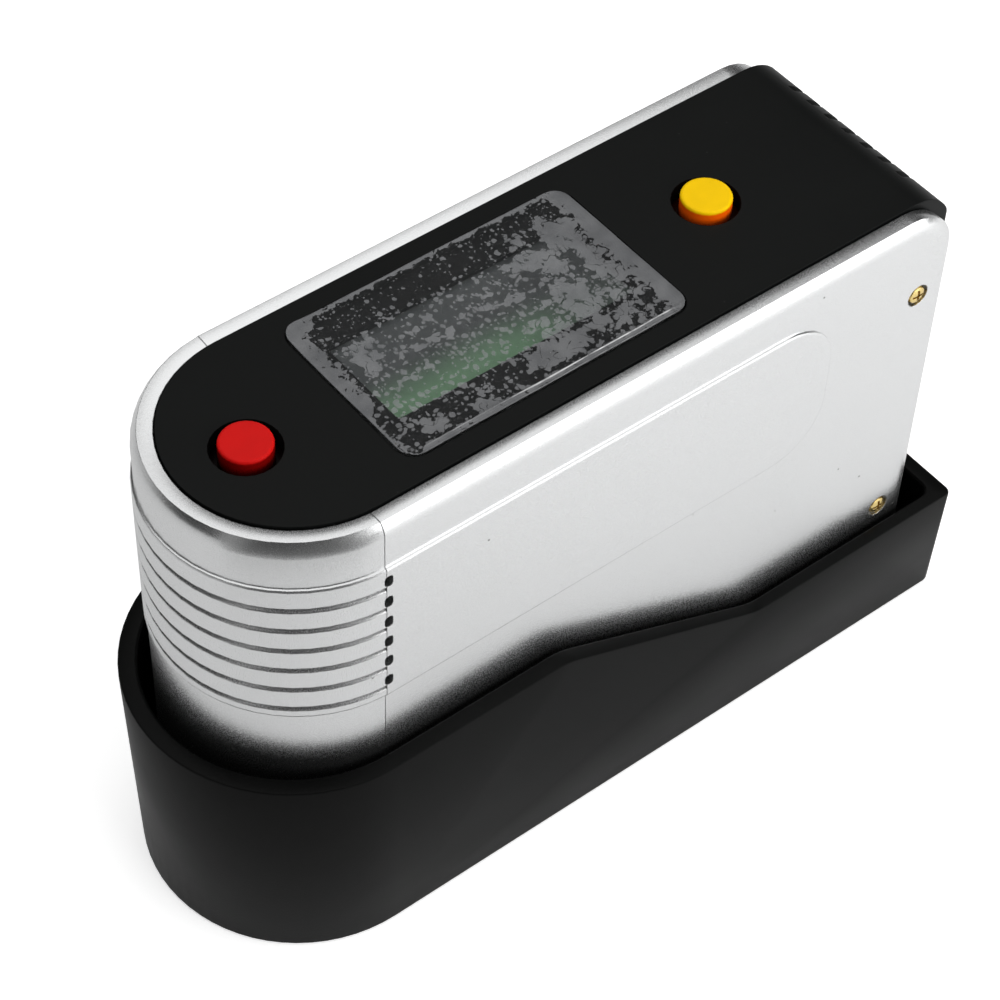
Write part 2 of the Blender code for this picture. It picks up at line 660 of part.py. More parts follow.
def top_cover(parent, surface):
    half = COVER_HALF - COVER_FIT
    cover = place("top_cover", plate_mesh("top_cover", cover_profile(), -half, half, "Y"),
                  surface, parent)
    outline = cover_plan(half)
    trim = cutter("cover_trim", plate_mesh("cover_trim", outline, -CASE_HEIGHT - OVERSHOOT,
                                           OVERSHOOT), parent)
    combine(cover, trim, 'INTERSECT')

    bm = bmesh.new()
    for x, y in board_posts():
        plate(bm, round_outline(x, y, POST_RADIUS, HOLE_STEPS),
              -BOARD_DEPTH + SEAT_GAP, -0.5 * COVER_WALL)
    for depth in SIDE_SCREW_DEPTHS:
        wall = COVER_REAR - 0.5 * COVER_WALL
        outline = arc(SIDE_SCREW_X, -depth, SCREW_BOSS, 90, 270, 9)
        outline += [(wall, -depth - SCREW_BOSS), (wall, -depth + SCREW_BOSS)]
        plate(bm, outline, -half, half, "Y")
    bosses = cutter("cover_bosses", mesh_from(bm, "cover_bosses"), parent)
    combine(cover, bosses, 'UNION')

    bm = bmesh.new()
    recess = WINDOW_SUNK + WINDOW_THICK + WINDOW_SEAT
    plate(bm, rounded_rectangle(WINDOW_X, 0.0, WINDOW_LENGTH, WINDOW_WIDTH, WINDOW_CORNER, 5),
          -recess, OVERSHOOT)
    rear_groove_cutters(bm)
    for x in (RED_X, YELLOW_X):
        plate(bm, round_outline(x, 0.0, BUTTON_HOLE, BUTTON_STEPS), -COVER_WALL - OVERSHOOT, OVERSHOOT)
    pilot = SCREW_SHANK + SCREW_FIT
    for side in (-1, 1):
        for depth in SIDE_SCREW_DEPTHS:
            end = COVER_HALF - SIDE_SCREW_LENGTH + SCREW_SINK
            levels = (side * end, side * (COVER_HALF + OVERSHOOT))
            plate(bm, round_outline(SIDE_SCREW_X, -depth, pilot, HOLE_STEPS),
                  min(levels), max(levels), "Y")
    for x, y in board_posts():
        plate(bm, round_outline(x, y, pilot, HOLE_STEPS), -BOARD_DEPTH, -BOARD_DEPTH + BOARD_SCREW_LENGTH)
    cuts = cutter("cover_cuts", mesh_from(bm, "cover_cuts"), parent)
    combine(cover, cuts, 'DIFFERENCE')

    outline = rounded_rectangle(VIEW_X, VIEW_Y, VIEW_LENGTH, VIEW_WIDTH, VIEW_CORNER, 2)
    view = cutter("cover_view_opening", plate_mesh("cover_view_opening", outline,
                                                   -COVER_WALL - OVERSHOOT, -0.5 * recess), parent)
    combine(cover, view, 'DIFFERENCE')


# Display
def display(parent, surfaces):
    half_sink = WINDOW_SUNK + WINDOW_THICK
    length = WINDOW_LENGTH - 2.0 * WINDOW_FIT
    width = WINDOW_WIDTH - 2.0 * WINDOW_FIT
    corner = WINDOW_CORNER - WINDOW_FIT
    outline = rounded_rectangle(0.0, 0.0, length, width, corner, 5)
    place("window", plate_mesh("window", outline, -half_sink, -WINDOW_SUNK),
          surfaces["window"], parent, (WINDOW_X, 0.0, 0.0))
    outline = rounded_rectangle(0.0, 0.0, length - 2.0 * FILM_INSET, width - 2.0 * FILM_INSET,
                                corner - FILM_INSET, 4)
    low = -WINDOW_SUNK + FILM_GAP
    place("window_film", plate_mesh("window_film", outline, low, low + FILM_THICK),
          surfaces["film"], parent, (WINDOW_X, 0.0, 0.0))

    top = -COVER_WALL - SEAT_GAP
    outline = rounded_rectangle(0.0, 0.0, GLASS_LENGTH, GLASS_WIDTH, VIEW_CORNER, 2)
    place("display_glass", plate_mesh("display_glass", outline, top - GLASS_THICK, top),
          surfaces["display"], parent, (VIEW_X, VIEW_Y, 0.0))

    place_at = (VIEW_X, VIEW_Y, 0.0)
    foot = -BOARD_DEPTH + SEAT_GAP
    outline = rounded_rectangle(0.0, 0.0, FRAME_LENGTH, FRAME_WIDTH, FRAME_CORNER, 3)
    frame = place("display_frame", plate_mesh("display_frame", outline, foot, top),
                  surfaces["black"], parent, place_at)
    shelf = top - GLASS_THICK - SEAT_GAP
    outline = rounded_rectangle(0.0, 0.0, GLASS_LENGTH + 2.0 * SEAT_GAP, GLASS_WIDTH + 2.0 * SEAT_GAP,
                                VIEW_CORNER + SEAT_GAP, 2)
    seat = cutter("display_frame_seat", plate_mesh("display_frame_seat", outline, shelf,
                                                   top + OVERSHOOT), parent, place_at)
    combine(frame, seat, 'DIFFERENCE')
    outline = rounded_rectangle(0.0, 0.0, GLASS_LENGTH - 2.0 * FRAME_SHELF,
                                GLASS_WIDTH - 2.0 * FRAME_SHELF, VIEW_CORNER, 2)
    well = cutter("display_frame_well", plate_mesh("display_frame_well", outline, foot - OVERSHOOT,
                                                   shelf + 0.5 * GLASS_THICK), parent, place_at)
    combine(frame, well, 'DIFFERENCE')


# Buttons, each on the plunger of its switch
def button(name, x, surface, parent, surfaces):
    edge = BUTTON_EDGE
    top = BUTTON_PROUD
    flange_top = -COVER_WALL - SEAT_GAP
    flange_foot = -FLANGE_DEPTH
    plunger_top = -PLUNGER_TOP_DEPTH
    switch_top = plunger_top - PLUNGER_PROUD
    switch_foot = switch_top - SWITCH_HEIGHT
    profile = [(0.4 * BUTTON_RADIUS, top), (BUTTON_RADIUS - edge, top)]
    profile += [(BUTTON_RADIUS - 0.3 * edge, top - 0.3 * edge), (BUTTON_RADIUS, top - edge)]
    profile += [(BUTTON_RADIUS, flange_top), (BUTTON_FLANGE, flange_top)]
    profile += [(BUTTON_FLANGE, flange_foot), (BUTTON_STEM, flange_foot)]
    profile += [(BUTTON_STEM, flange_foot - BUTTON_STEM_LENGTH)]
    place(name, turned_mesh(name, profile, BUTTON_STEPS), surface, parent, (x, 0.0, 0.0))

    foot = switch_top - PLUNGER_DEPTH
    profile = [(PLUNGER_RADIUS, plunger_top), (PLUNGER_RADIUS, foot)]
    plunger = name.replace("button", "plunger")
    place(plunger, turned_mesh(plunger, profile, DISC_STEPS), surfaces["black"], parent,
          (x, 0.0, 0.0))

    switch = name.replace("button", "switch")
    outline = rounded_rectangle(0.0, 0.0, SWITCH_SIZE, SWITCH_SIZE, SWITCH_CORNER, 2)
    body = place(switch, plate_mesh(switch, outline, switch_foot, switch_top), surfaces["black"],
                 parent, (x, 0.0, 0.0))
    outline = round_outline(0.0, 0.0, PLUNGER_RADIUS + SEAT_GAP, DISC_STEPS)
    floor = foot - BUTTON_TRAVEL - PLUNGER_FIT
    hole = cutter(switch + "_well", plate_mesh(switch + "_well", outline, floor,
                                               switch_top + OVERSHOOT), parent, (x, 0.0, 0.0))
    combine(body, hole, 'DIFFERENCE')


# Circuit board and its processor
def board(parent, surfaces):
    top = -BOARD_DEPTH
    foot = top - BOARD_THICK
    outline = plan(BOARD_HALF, 0.0, BOARD_REAR, BOARD_CORNER, NOSE_STEPS // 2, 2)
    panel = place("main_board", plate_mesh("main_board", outline, foot, top), surfaces["board"],
                  parent)
    bm = bmesh.new()
    for x, y in board_posts():
        plate(bm, round_outline(x, y, SCREW_SHANK + SCREW_FIT, HOLE_STEPS),
              foot - OVERSHOOT, top + OVERSHOOT)
    holes = cutter("board_holes", mesh_from(bm, "board_holes"), parent)
    combine(panel, holes, 'DIFFERENCE')
    outline = rounded_rectangle(0.0, 0.0, CHIP_SIZE, CHIP_SIZE, CHIP_CORNER, 2)
    high = foot - SEAT_GAP
    place("processor", plate_mesh("processor", outline, high - CHIP_THICK, high),
          surfaces["black"], parent, (CHIP_X, 0.0, 0.0))


# Screws with a domed cross head, drawn along their own axis with the head at the top
def screw(name, length, surface, parent, location, rotation, domed=True):
    top = SCREW_HEAD_THICK
    steps = DISC_STEPS if domed else HOLE_STEPS
    profile = [(0.5 * SCREW_HEAD, top), (0.85 * SCREW_HEAD, 0.75 * top), (SCREW_HEAD, 0.35 * top)]
    if not domed:
        profile = [(0.9 * SCREW_HEAD, top)]
    profile += [(SCREW_HEAD, 0.0), (SCREW_SHANK, 0.0), (SCREW_SHANK, -length + SCREW_SHANK)]
    profile += [(0.4 * SCREW_SHANK, -length)]
    item = place(name, turned_mesh(name, profile, steps), surface, parent, location, rotation)
    bm = bmesh.new()
    reach = SCREW_SLOT_REACH
    half = 0.5 * SCREW_SLOT
    floor = 0.35 * top
    outline = [(reach, -half), (reach, half), (half, half), (half, reach), (-half, reach)]
    outline += [(-half, half), (-reach, half), (-reach, -half), (-half, -half), (-half, -reach)]
    outline += [(half, -reach), (half, -half)]
    plate(bm, outline, floor, top + OVERSHOOT)
    cross = cutter(name + "_cross", mesh_from(bm, name + "_cross"), parent, location, rotation)
    combine(item, cross, 'DIFFERENCE')


def screws(parent, surfaces):
    for side, label in ((-1, "near"), (1, "far")):
        turn = (math.radians(90.0) * -side, 0.0, 0.0)
        for depth, place_name in zip(SIDE_SCREW_DEPTHS, ("upper", "lower")):
            y = side * (WALL_HALF - SCREW_SINK + SEAT_GAP)
            screw(label + "_" + place_name + "_screw", SIDE_SCREW_LENGTH - SCREW_FIT,
                  surfaces["brass"], parent, (SIDE_SCREW_X, y, -depth), turn)
    down = (math.radians(180.0), 0.0, 0.0)
    for i, (x, y) in enumerate(board_posts()):
        z = -BOARD_DEPTH - BOARD_THICK - SEAT_GAP
        screw("board_screw_" + str(i + 1), BOARD_SCREW_LENGTH, surfaces["steel"], parent,
              (x, y, z), down, domed=False)
    for i, (x, y) in enumerate(base_screw_places()):
        z = -CASE_HEIGHT + SCREW_HEAD_THICK + SEAT_GAP
        screw("base_screw_" + str(i + 1), BASE_SCREW_LENGTH, surfaces["steel"], parent,
              (x, y, z), down, domed=False)


def base_screw_places():
    return [(APERTURE_X + end * BASE_SCREW_X, side * BASE_SCREW_Y)
            for end in (-1, 1) for side in (-1, 1)]


# Base plate with the measuring aperture
def base_plate(parent, surface):
    foot = -CASE_HEIGHT
    top = -FLOOR_DEPTH
    half = LEDGE_INNER - SEAT_GAP
    rear = COVER_REAR - COVER_WALL - BASE_REAR_FIT
    outline = plan(half, 0.0, rear, BASE_CORNER, NOSE_STEPS, 2)
    item = place("base_plate", plate_mesh("base_plate", outline, foot, top), surface, parent)
    bm = bmesh.new()
    corner = 0.5 * (APERTURE_WIDTH - APERTURE_FLAT)
    outline = rounded_rectangle(APERTURE_X, 0.0, APERTURE_LENGTH, APERTURE_WIDTH, corner, 4)
    plate(bm, outline, foot - OVERSHOOT, top + OVERSHOOT)
    for x, y in base_screw_places():
        sink = foot + SCREW_HEAD_THICK + SCREW_FIT
        plate(bm, round_outline(x, y, SCREW_HEAD + SCREW_FIT, HOLE_STEPS), foot - OVERSHOOT, sink)
    cuts = cutter("base_cuts", mesh_from(bm, "base_cuts"), parent)
    combine(item, cuts, 'DIFFERENCE')
    bm = bmesh.new()
    for x, y in base_screw_places():
        plate(bm, round_outline(x, y, SCREW_SHANK + SCREW_FIT, HOLE_STEPS), foot + 0.5 * SCREW_HEAD_THICK,
              top + OVERSHOOT)
    shanks = cutter("base_shank_holes", mesh_from(bm, "base_shank_holes"), parent)
    combine(item, shanks, 'DIFFERENCE')


# Moulded frame with the cell tray, standing on the base plate
def inner_frame(parent, surface):
    axis = -CELL_DEPTH
    inner = CELL_RADIUS + CELL_FIT
    outer = inner + TRAY_WALL
    lip = axis + TRAY_LIP
    foot = -FLOOR_DEPTH + SEAT_GAP
    leg = FRAME_HALF - FRAME_LEG
    outline = [(-FRAME_HALF, foot), (-leg, foot), (-leg, lip - TRAY_WALL)]
    outline += [(-outer, lip - TRAY_WALL)]
    outline += arc(0.0, axis, outer, 180, 360, 14)
    outline += [(outer, lip - TRAY_WALL), (leg, lip - TRAY_WALL), (leg, foot), (FRAME_HALF, foot)]
    outline += [(FRAME_HALF, lip), (inner, lip)]
    outline += arc(0.0, axis, inner, 360, 180, 14)
    outline += [(-inner, lip), (-FRAME_HALF, lip)]
    end = frame_end()
    item = place("inner_frame", plate_mesh("inner_frame", outline, FRAME_FRONT, end, "X"),
                 surface, parent)
    size = 2.0 * (outer - FRAME_END_INSET)
    wall = rounded_rectangle(0.0, axis, size, size, FRAME_END_CORNER, 3)
    stop = cutter("frame_end_wall", plate_mesh("frame_end_wall", wall, end - FRAME_END_WALL,
                                               end - FRAME_END_STEP, "X"), parent)
    combine(item, stop, 'UNION')


def frame_end():
    back = CELL_FRONT + CELL_LENGTH + CELL_FIT + SPRING_LENGTH + CELL_FIT
    return back + FRAME_END_WALL + FRAME_END_STEP


def cell(parent, surfaces, boss_end):
    nub = 0.5 * CELL_NUB_RADIUS
    profile = [(nub, CELL_NUB), (CELL_NUB_RADIUS, 0.8 * CELL_NUB), (CELL_NUB_RADIUS, 0.0)]
    profile += [(CELL_RADIUS - CELL_EDGE, 0.0), (CELL_RADIUS, -CELL_EDGE)]
    profile += [(CELL_RADIUS, -CELL_LENGTH + CELL_EDGE), (CELL_RADIUS - CELL_EDGE, -CELL_LENGTH)]
    turn = (0.0, math.radians(-90.0), 0.0)
    place("aa_cell", turned_mesh("aa_cell", profile, BUTTON_STEPS), surfaces["cell"], parent,
          (CELL_FRONT, 0.0, -CELL_DEPTH), turn)
    outline = rounded_rectangle(0.0, 0.0, CONTACT_SIZE, CONTACT_SIZE, CONTACT_CORNER, 3)
    place("front_contact", plate_mesh("front_contact", outline, 0.0, CONTACT_THICK, "X"),
          surfaces["contact"], parent, (boss_end + SEAT_GAP, 0.0, -CELL_DEPTH))
    spring_start = CELL_FRONT + CELL_LENGTH + CELL_FIT
    place("cell_spring", spring_mesh("cell_spring"), surfaces["contact"], parent,
          (spring_start, 0.0, -CELL_DEPTH))


def spring_mesh(name):
    """Tapered coil along +X, small end against the cell, as a swept round wire."""
    sides = 5
    wire = 0.5 * SPRING_WIRE
    steps = int(SPRING_TURNS * 10)
    rings = []
    for i in range(steps + 1):
        t = i / steps
        angle = math.tau * SPRING_TURNS * t
        radius = SPRING_SMALL + (SPRING_BIG - SPRING_SMALL) * t
        along = wire + (SPRING_LENGTH - SPRING_WIRE) * t
        centre = Vector((along, radius * math.cos(angle), radius * math.sin(angle)))
        outward = Vector((0.0, math.cos(angle), math.sin(angle)))
        side = Vector((1.0, 0.0, 0.0))
        ring = []
        for k in range(sides):
            turn = math.tau * k / sides
            ring.append(centre + wire * (math.cos(turn) * outward + math.sin(turn) * side))
        rings.append(ring)
    return ring_mesh(name, rings)


# Optics block with its two barrels, and what they hold
def barrel_turn(side):
    """Rotation that lays local +Z along a barrel, away from the measured point."""
    return (0.0, math.radians(MEASURING_ANGLE) * side, 0.0)


def optics_block(parent, surface):
    foot = -FLOOR_DEPTH + SEAT_GAP
    point = (APERTURE_X, 0.0, -CASE_HEIGHT)
    bm = bmesh.new()
    half = 0.5 * BLOCK_LENGTH
    shoulder = 0.6 * BLOCK_HEIGHT
    outline = [(-half, foot), (half, foot), (half, foot + shoulder)]
    outline += [(0.45 * half, foot + BLOCK_HEIGHT), (-0.45 * half, foot + BLOCK_HEIGHT)]
    outline += [(-half, foot + shoulder)]
    outline = [(APERTURE_X + x, z) for x, z in outline]
    plate(bm, outline, -0.5 * BLOCK_WIDTH, 0.5 * BLOCK_WIDTH, "Y")
    item = place("optics_block", mesh_from(bm, "optics_block"), surface, parent)

    outline = rounded_rectangle(APERTURE_X, 0.0, FLANGE_LENGTH, FLANGE_WIDTH, FLANGE_CORNER, 3)
    flange = cutter("optics_flange", plate_mesh("optics_flange", outline, foot,
                                                foot + FLANGE_THICK), parent)
    combine(item, flange, 'UNION')
    for side, label in ((-1, "source"), (1, "receiver")):
        profile = [(BARREL_RADIUS, BARREL_START), (BARREL_RADIUS, BARREL_REACH)]
        barrel = cutter(label + "_barrel", turned_mesh(label + "_barrel", profile, DISC_STEPS),
                        parent, point, barrel_turn(side))
        combine(item, barrel, 'UNION')
    bm = bmesh.new()
    low = foot - 3.0 * BARREL_RADIUS
    box(bm, (APERTURE_X - 2.0 * BARREL_REACH, -BARREL_REACH, low),
        (APERTURE_X + 2.0 * BARREL_REACH, BARREL_REACH, foot))
    under = cutter("optics_underside", mesh_from(bm, "optics_underside"), parent)
    combine(item, under, 'DIFFERENCE')
    for side, label in ((-1, "source"), (1, "receiver")):
        profile = [(BORE_RADIUS, -OVERSHOOT), (BORE_RADIUS, SEAT_START), (SEAT_RADIUS, SEAT_START)]
        profile += [(SEAT_RADIUS, BARREL_REACH + OVERSHOOT)]
        bore = cutter(label + "_bore", turned_mesh(label + "_bore", profile, DISC_STEPS),
                      parent, point, barrel_turn(side))
        combine(item, bore, 'DIFFERENCE')
    bm = bmesh.new()
    for x, y in base_screw_places():
        plate(bm, round_outline(x, y, SCREW_SHANK + SCREW_FIT, HOLE_STEPS), foot - OVERSHOOT,
              foot + FLANGE_THICK + OVERSHOOT)
    holes = cutter("optics_screw_holes", mesh_from(bm, "optics_screw_holes"), parent)
    combine(item, holes, 'DIFFERENCE')


def barrel_parts(parent, surfaces):
    point = (APERTURE_X, 0.0, -CASE_HEIGHT)
    disc = LENS_RADIUS
    for side, label in ((-1, "source"), (1, "receiver")):
        turn = barrel_turn(side)
        at = SEAT_START + OPTIC_FIT
        profile = [(disc, at), (disc, at + LENS_EDGE)]
        for part in (0.8, 0.55, 0.25):
            bulge = (LENS_THICK - LENS_EDGE) * (1.0 - part * part)
            profile.append((disc * part, at + LENS_EDGE + bulge))
        place(label + "_lens", turned_mesh(label + "_lens", profile, DISC_STEPS), surfaces["lens"],
              parent, point, turn)
        at += LENS_THICK + OPTIC_FIT
        bore = disc - SPACER_WALL
        section = [(bore, at), (disc, at), (disc, at + SPACER_LENGTH), (bore, at + SPACER_LENGTH)]
        place(label + "_spacer", tube_mesh(label + "_spacer", section, DISC_STEPS),
              surfaces["anodised"], parent, point, turn)
        at += SPACER_LENGTH + OPTIC_FIT
        profile = [(disc, at), (disc, at + SLIT_THICK)]
        slit = place(label + "_slit", turned_mesh(label + "_slit", profile, DISC_STEPS),
                     surfaces["anodised"], parent, point, turn)
        bm = bmesh.new()
        box(bm, (-0.5 * SLIT_WIDTH, -0.5 * SLIT_HEIGHT, at - OVERSHOOT),
            (0.5 * SLIT_WIDTH, 0.5 * SLIT_HEIGHT, at + SLIT_THICK + OVERSHOOT))
        gap = cutter(label + "_slit_gap", mesh_from(bm, label + "_slit_gap"), parent, point, turn)
        combine(slit, gap, 'DIFFERENCE')
        at += SLIT_THICK + OPTIC_FIT
        if label == "receiver":
            profile = [(disc, at), (disc, at + FILTER_THICK)]
            place("green_filter", turned_mesh("green_filter", profile, DISC_STEPS), surfaces["filter"],
                  parent, point, turn)
            at += FILTER_THICK + OPTIC_FIT
            profile = [(0.5 * disc, at), (disc, at + SENSOR_EDGE), (disc, BARREL_REACH)]
            profile += [(0.5 * disc, at + SENSOR_LENGTH)]
            place("light_sensor", turned_mesh("light_sensor", profile, DISC_STEPS), surfaces["contact"],
                  parent, point, turn)
        else:
            dome = LAMP_DOME
            collar = BARREL_REACH + LAMP_PROUD - LAMP_COLLAR
            at = collar - LAMP_DOME_HEIGHT
            profile = [(0.35 * dome, at), (0.8 * dome, at + 0.25 * dome), (dome, at + 0.75 * dome)]
            profile += [(dome, collar), (disc, collar), (disc, collar + LAMP_COLLAR)]
            place("lamp", turned_mesh("lamp", profile, DISC_STEPS), surfaces["lamp"], parent, point, turn)


# Holder, one moulding with a sloping rim
def rim_height(x):
    """Height of the rim: high round the nose, a slope with blended ends, low at the rear."""
    fall = (RIM_REAR - RIM_FRONT) / (RIM_SLOPE_END - RIM_SLOPE_START)
    height = RIM_FRONT
    for corner, sign in ((RIM_SLOPE_START, 1.0), (RIM_SLOPE_END, -1.0)):
        past = x - corner
        if past > RIM_BLEND:
            height += sign * fall * past
        elif past > -RIM_BLEND:
            height += sign * fall * (past + RIM_BLEND) ** 2 / (4.0 * RIM_BLEND)
    return height


def holder_stations():
    """Places along the straight sides where the wall has a line of points."""
    stations = []
    for corner in (RIM_SLOPE_START, RIM_SLOPE_END):
        for i in range(4):
            stations.append(corner + RIM_BLEND * (2.0 * i / 3.0 - 1.0))
    return stations


def holder_plan(inset, height):
    """One ring of the wall at an inset from its drafted outside, as (x, y)."""
    rise = min(height, RIM_FRONT) / RIM_FRONT
    half = HOLDER_FOOT_HALF + (HOLDER_HALF - HOLDER_FOOT_HALF) * rise - inset
    rear = HOLDER_REAR - HOLDER_REAR_DRAFT * (1.0 - min(1.0, height / RIM_REAR)) - inset
    return ring_plan(half, rear, HOLDER_CORNER - inset)


def ring_plan(half, rear, corner):
    stations = holder_stations()
    points = arc(rear - corner, half - corner, corner, 0, 90, 3)
    points += [(x, half) for x in reversed(stations)]
    points += arc(HOLDER_NOSE_X, 0.0, half, 90, 270, COVER_STEPS)
    points += [(x, -half) for x in stations]
    points += arc(rear - corner, corner - half, corner, 270, 360, 3)
    return points


def holder(parent, surface):
    rings = []
    edge = HOLDER_FOOT_EDGE
    for i in range(3):
        angle = math.radians(45.0 * i)
        height = edge * (1.0 - math.cos(angle))
        ring = holder_plan(edge * (1.0 - math.sin(angle)), height)
        rings.append([(x, y, height) for x, y in ring])
    round_off = HOLDER_RIM_EDGE
    for angle in (0.0, 45.0, 90.0):
        turn = math.radians(angle)
        drop = round_off * (1.0 - math.sin(turn))
        inset = round_off * (1.0 - math.cos(turn))
        rings.append(rim_ring(inset, drop, outside=True))
    for angle in (90.0, 0.0):
        turn = math.radians(angle)
        drop = round_off * (1.0 - math.sin(turn))
        inset = round_off * (1.0 - math.cos(turn))
        rings.append(rim_ring(inset, drop, outside=False))
    inner_half = HOLDER_HALF - HOLDER_RIM
    inner_rear = HOLDER_REAR - HOLDER_RIM
    for height, inset in ((HOLDER_FLOOR + HOLDER_FLOOR_EDGE, 0.0), (HOLDER_FLOOR, HOLDER_FLOOR_EDGE)):
        ring = ring_plan(inner_half - inset, inner_rear - inset, HOLDER_INNER_CORNER - inset)
        rings.append([(x, y, height) for x, y in ring])
    item = place("holder", ring_mesh("holder", rings), surface, parent)

    bm = bmesh.new()
    for side in (-1, 1):
        rear = COVER_REAR - RAIL_BEHIND
        outline = rounded_rectangle(0.5 * (RAIL_FRONT + rear), side * RAIL_Y, rear - RAIL_FRONT,
                                    RAIL_WIDTH, RAIL_CORNER, 2)
        plate(bm, outline, 0.5 * HOLDER_FLOOR, METER_SEAT)
    rails = cutter("holder_rails", mesh_from(bm, "holder_rails"), parent)
    combine(item, rails, 'UNION')
    length = TILE_LENGTH + 2.0 * SEAT_GAP
    width = TILE_WIDTH + 2.0 * SEAT_GAP
    corner = TILE_CORNER + SEAT_GAP
    rim = rounded_rectangle(APERTURE_X, 0.0, length, width, corner, 2)
    curb = rounded_rectangle(APERTURE_X, 0.0, length + 2.0 * TILE_CURB, width + 2.0 * TILE_CURB,
                             corner + TILE_CURB, 2)
    curb_top = METER_SEAT - TILE_THICK + 0.5 * SEAT_GAP
    section = [[(x, y, z) for x, y in line] for line, z in
               ((curb, 0.5 * HOLDER_FLOOR), (curb, curb_top), (rim, curb_top),
                (rim, 0.5 * HOLDER_FLOOR))]
    wall = cutter("holder_tile_curb", ring_mesh("holder_tile_curb", section, capped=False), parent)
    combine(item, wall, 'UNION')


def rim_ring(inset, drop, outside):
    """A ring that follows the rim, on its outer or its inner edge."""
    if outside:
        flat = holder_plan(inset, RIM_FRONT)
        ring = []
        for i, (x, y) in enumerate(flat):
            height = rim_height(x) - drop
            px, py = holder_plan(inset, height)[i]
            ring.append((px, py, height))
        return ring
    half = HOLDER_HALF - HOLDER_RIM + inset
    rear = HOLDER_REAR - HOLDER_RIM + inset
    return [(x, y, rim_height(x) - drop) for x, y in ring_plan(half, rear, HOLDER_INNER_CORNER + inset)]


def calibration_tile(parent, surfaces):
    outline = rounded_rectangle(0.0, 0.0, TILE_LENGTH, TILE_WIDTH, TILE_CORNER, 2)
    top = METER_SEAT
    foot = top - TILE_THICK
    place("calibration_tile", plate_mesh("calibration_tile", outline, foot, top),
          surfaces["tile"], parent, (APERTURE_X, 0.0, 0.0))
    top = foot - SEAT_GAP
    place("tile_pad", plate_mesh("tile_pad", outline, top - PAD_THICK, top),
          surfaces["pad"], parent, (APERTURE_X, 0.0, 0.0))


def surfaces():
    return {
        "black": finish("moulded_black", (0.009, 0.0095, 0.009), 0.45),
        "holder": finish("holder_black", (0.012, 0.012, 0.012), 0.4),
        "silver": finish("silver_paint", (0.62, 0.63, 0.63), 0.38, 0.6),
        "red": finish("red_button", (0.58, 0.009, 0.008), 0.35),
        "yellow": finish("yellow_button", (1.0, 0.52, 0.01), 0.35),
        "window": finish("clear_plastic", (0.9, 0.92, 0.92), 0.05, 0.0, 0.25),
        "film": finish("protective_film", (0.35, 0.37, 0.38), 0.25, 0.0, 0.4),
        "display": finish("display_glass", (0.19, 0.24, 0.2), 0.1),
        "board": finish("board_green", (0.02, 0.12, 0.05), 0.4),
        "brass": finish("brass", (0.72, 0.58, 0.25), 0.3, 1.0),
        "steel": finish("steel", (0.55, 0.55, 0.55), 0.3, 1.0),
        "contact": finish("contact_metal", (0.7, 0.7, 0.68), 0.25, 1.0),
        "cell": finish("cell_jacket", (0.1, 0.1, 0.11), 0.35, 0.2),
        "tile": finish("tile_glass", (0.004, 0.004, 0.005), 0.04),
        "pad": finish("foam_pad", (0.05, 0.05, 0.05), 0.9),
        "anodised": finish("black_anodised", (0.012, 0.012, 0.012), 0.5, 0.9),
        "lens": finish("lens_glass", (0.9, 0.92, 0.92), 0.05, 0.0, 0.25),
        "filter": finish("filter_green", (0.05, 0.3, 0.08), 0.1, 0.0, 0.6),
        "lamp": finish("lamp_clear", (0.85, 0.87, 0.9), 0.1, 0.0, 0.5),
    }


def main():
    remove_everything()
    meter = bpy.data.objects.new("meter", None)
    meter.location = (-MIDDLE_X, 0.0, TOP_HEIGHT)
    stand = bpy.data.objects.new("stand", None)
    stand.location = (-MIDDLE_X, 0.0, 0.0)
    for item in (meter, stand):
        bpy.context.scene.collection.objects.link(item)
    looks = surfaces()
    top_cover(meter, looks["black"])
    boss_end = nose_cap(meter, looks["silver"])
    side_shell("near_shell", -1, meter, looks["silver"])
    side_shell("far_shell", 1, meter, looks["silver"])
    display(meter, looks)
    button("red_button", RED_X, looks["red"], meter, looks)
    button("yellow_button", YELLOW_X, looks["yellow"], meter, looks)
    board(meter, looks)
    screws(meter, looks)
    base_plate(meter, looks["black"])
    inner_frame(meter, looks["black"])
    cell(meter, looks, boss_end)
    optics_block(meter, looks["anodised"])
    barrel_parts(meter, looks)
    holder(stand, looks["holder"])
    calibration_tile(stand, looks)


main()
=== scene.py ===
"""Looks of the hand-held gloss meter standing in its calibration holder."""
import math

import bmesh
import bpy
from mathutils import Matrix, Vector, noise


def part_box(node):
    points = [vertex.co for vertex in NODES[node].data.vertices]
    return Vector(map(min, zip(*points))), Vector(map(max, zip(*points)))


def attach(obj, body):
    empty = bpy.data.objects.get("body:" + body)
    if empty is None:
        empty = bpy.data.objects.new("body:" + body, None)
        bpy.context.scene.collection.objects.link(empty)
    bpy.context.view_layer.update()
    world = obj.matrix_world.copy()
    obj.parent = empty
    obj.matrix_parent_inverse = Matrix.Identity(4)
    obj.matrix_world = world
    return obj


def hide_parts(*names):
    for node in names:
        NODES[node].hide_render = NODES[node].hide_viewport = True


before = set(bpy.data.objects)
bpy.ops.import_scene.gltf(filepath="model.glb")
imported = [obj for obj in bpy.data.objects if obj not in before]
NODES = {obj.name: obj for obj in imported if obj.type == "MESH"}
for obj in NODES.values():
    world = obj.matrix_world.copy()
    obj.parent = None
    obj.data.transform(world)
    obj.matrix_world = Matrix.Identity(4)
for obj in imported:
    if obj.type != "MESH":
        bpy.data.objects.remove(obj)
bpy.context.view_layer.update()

MM = 0.001
BLACK, WHITE = (0.0, 0.0, 0.0), (1.0, 1.0, 1.0)

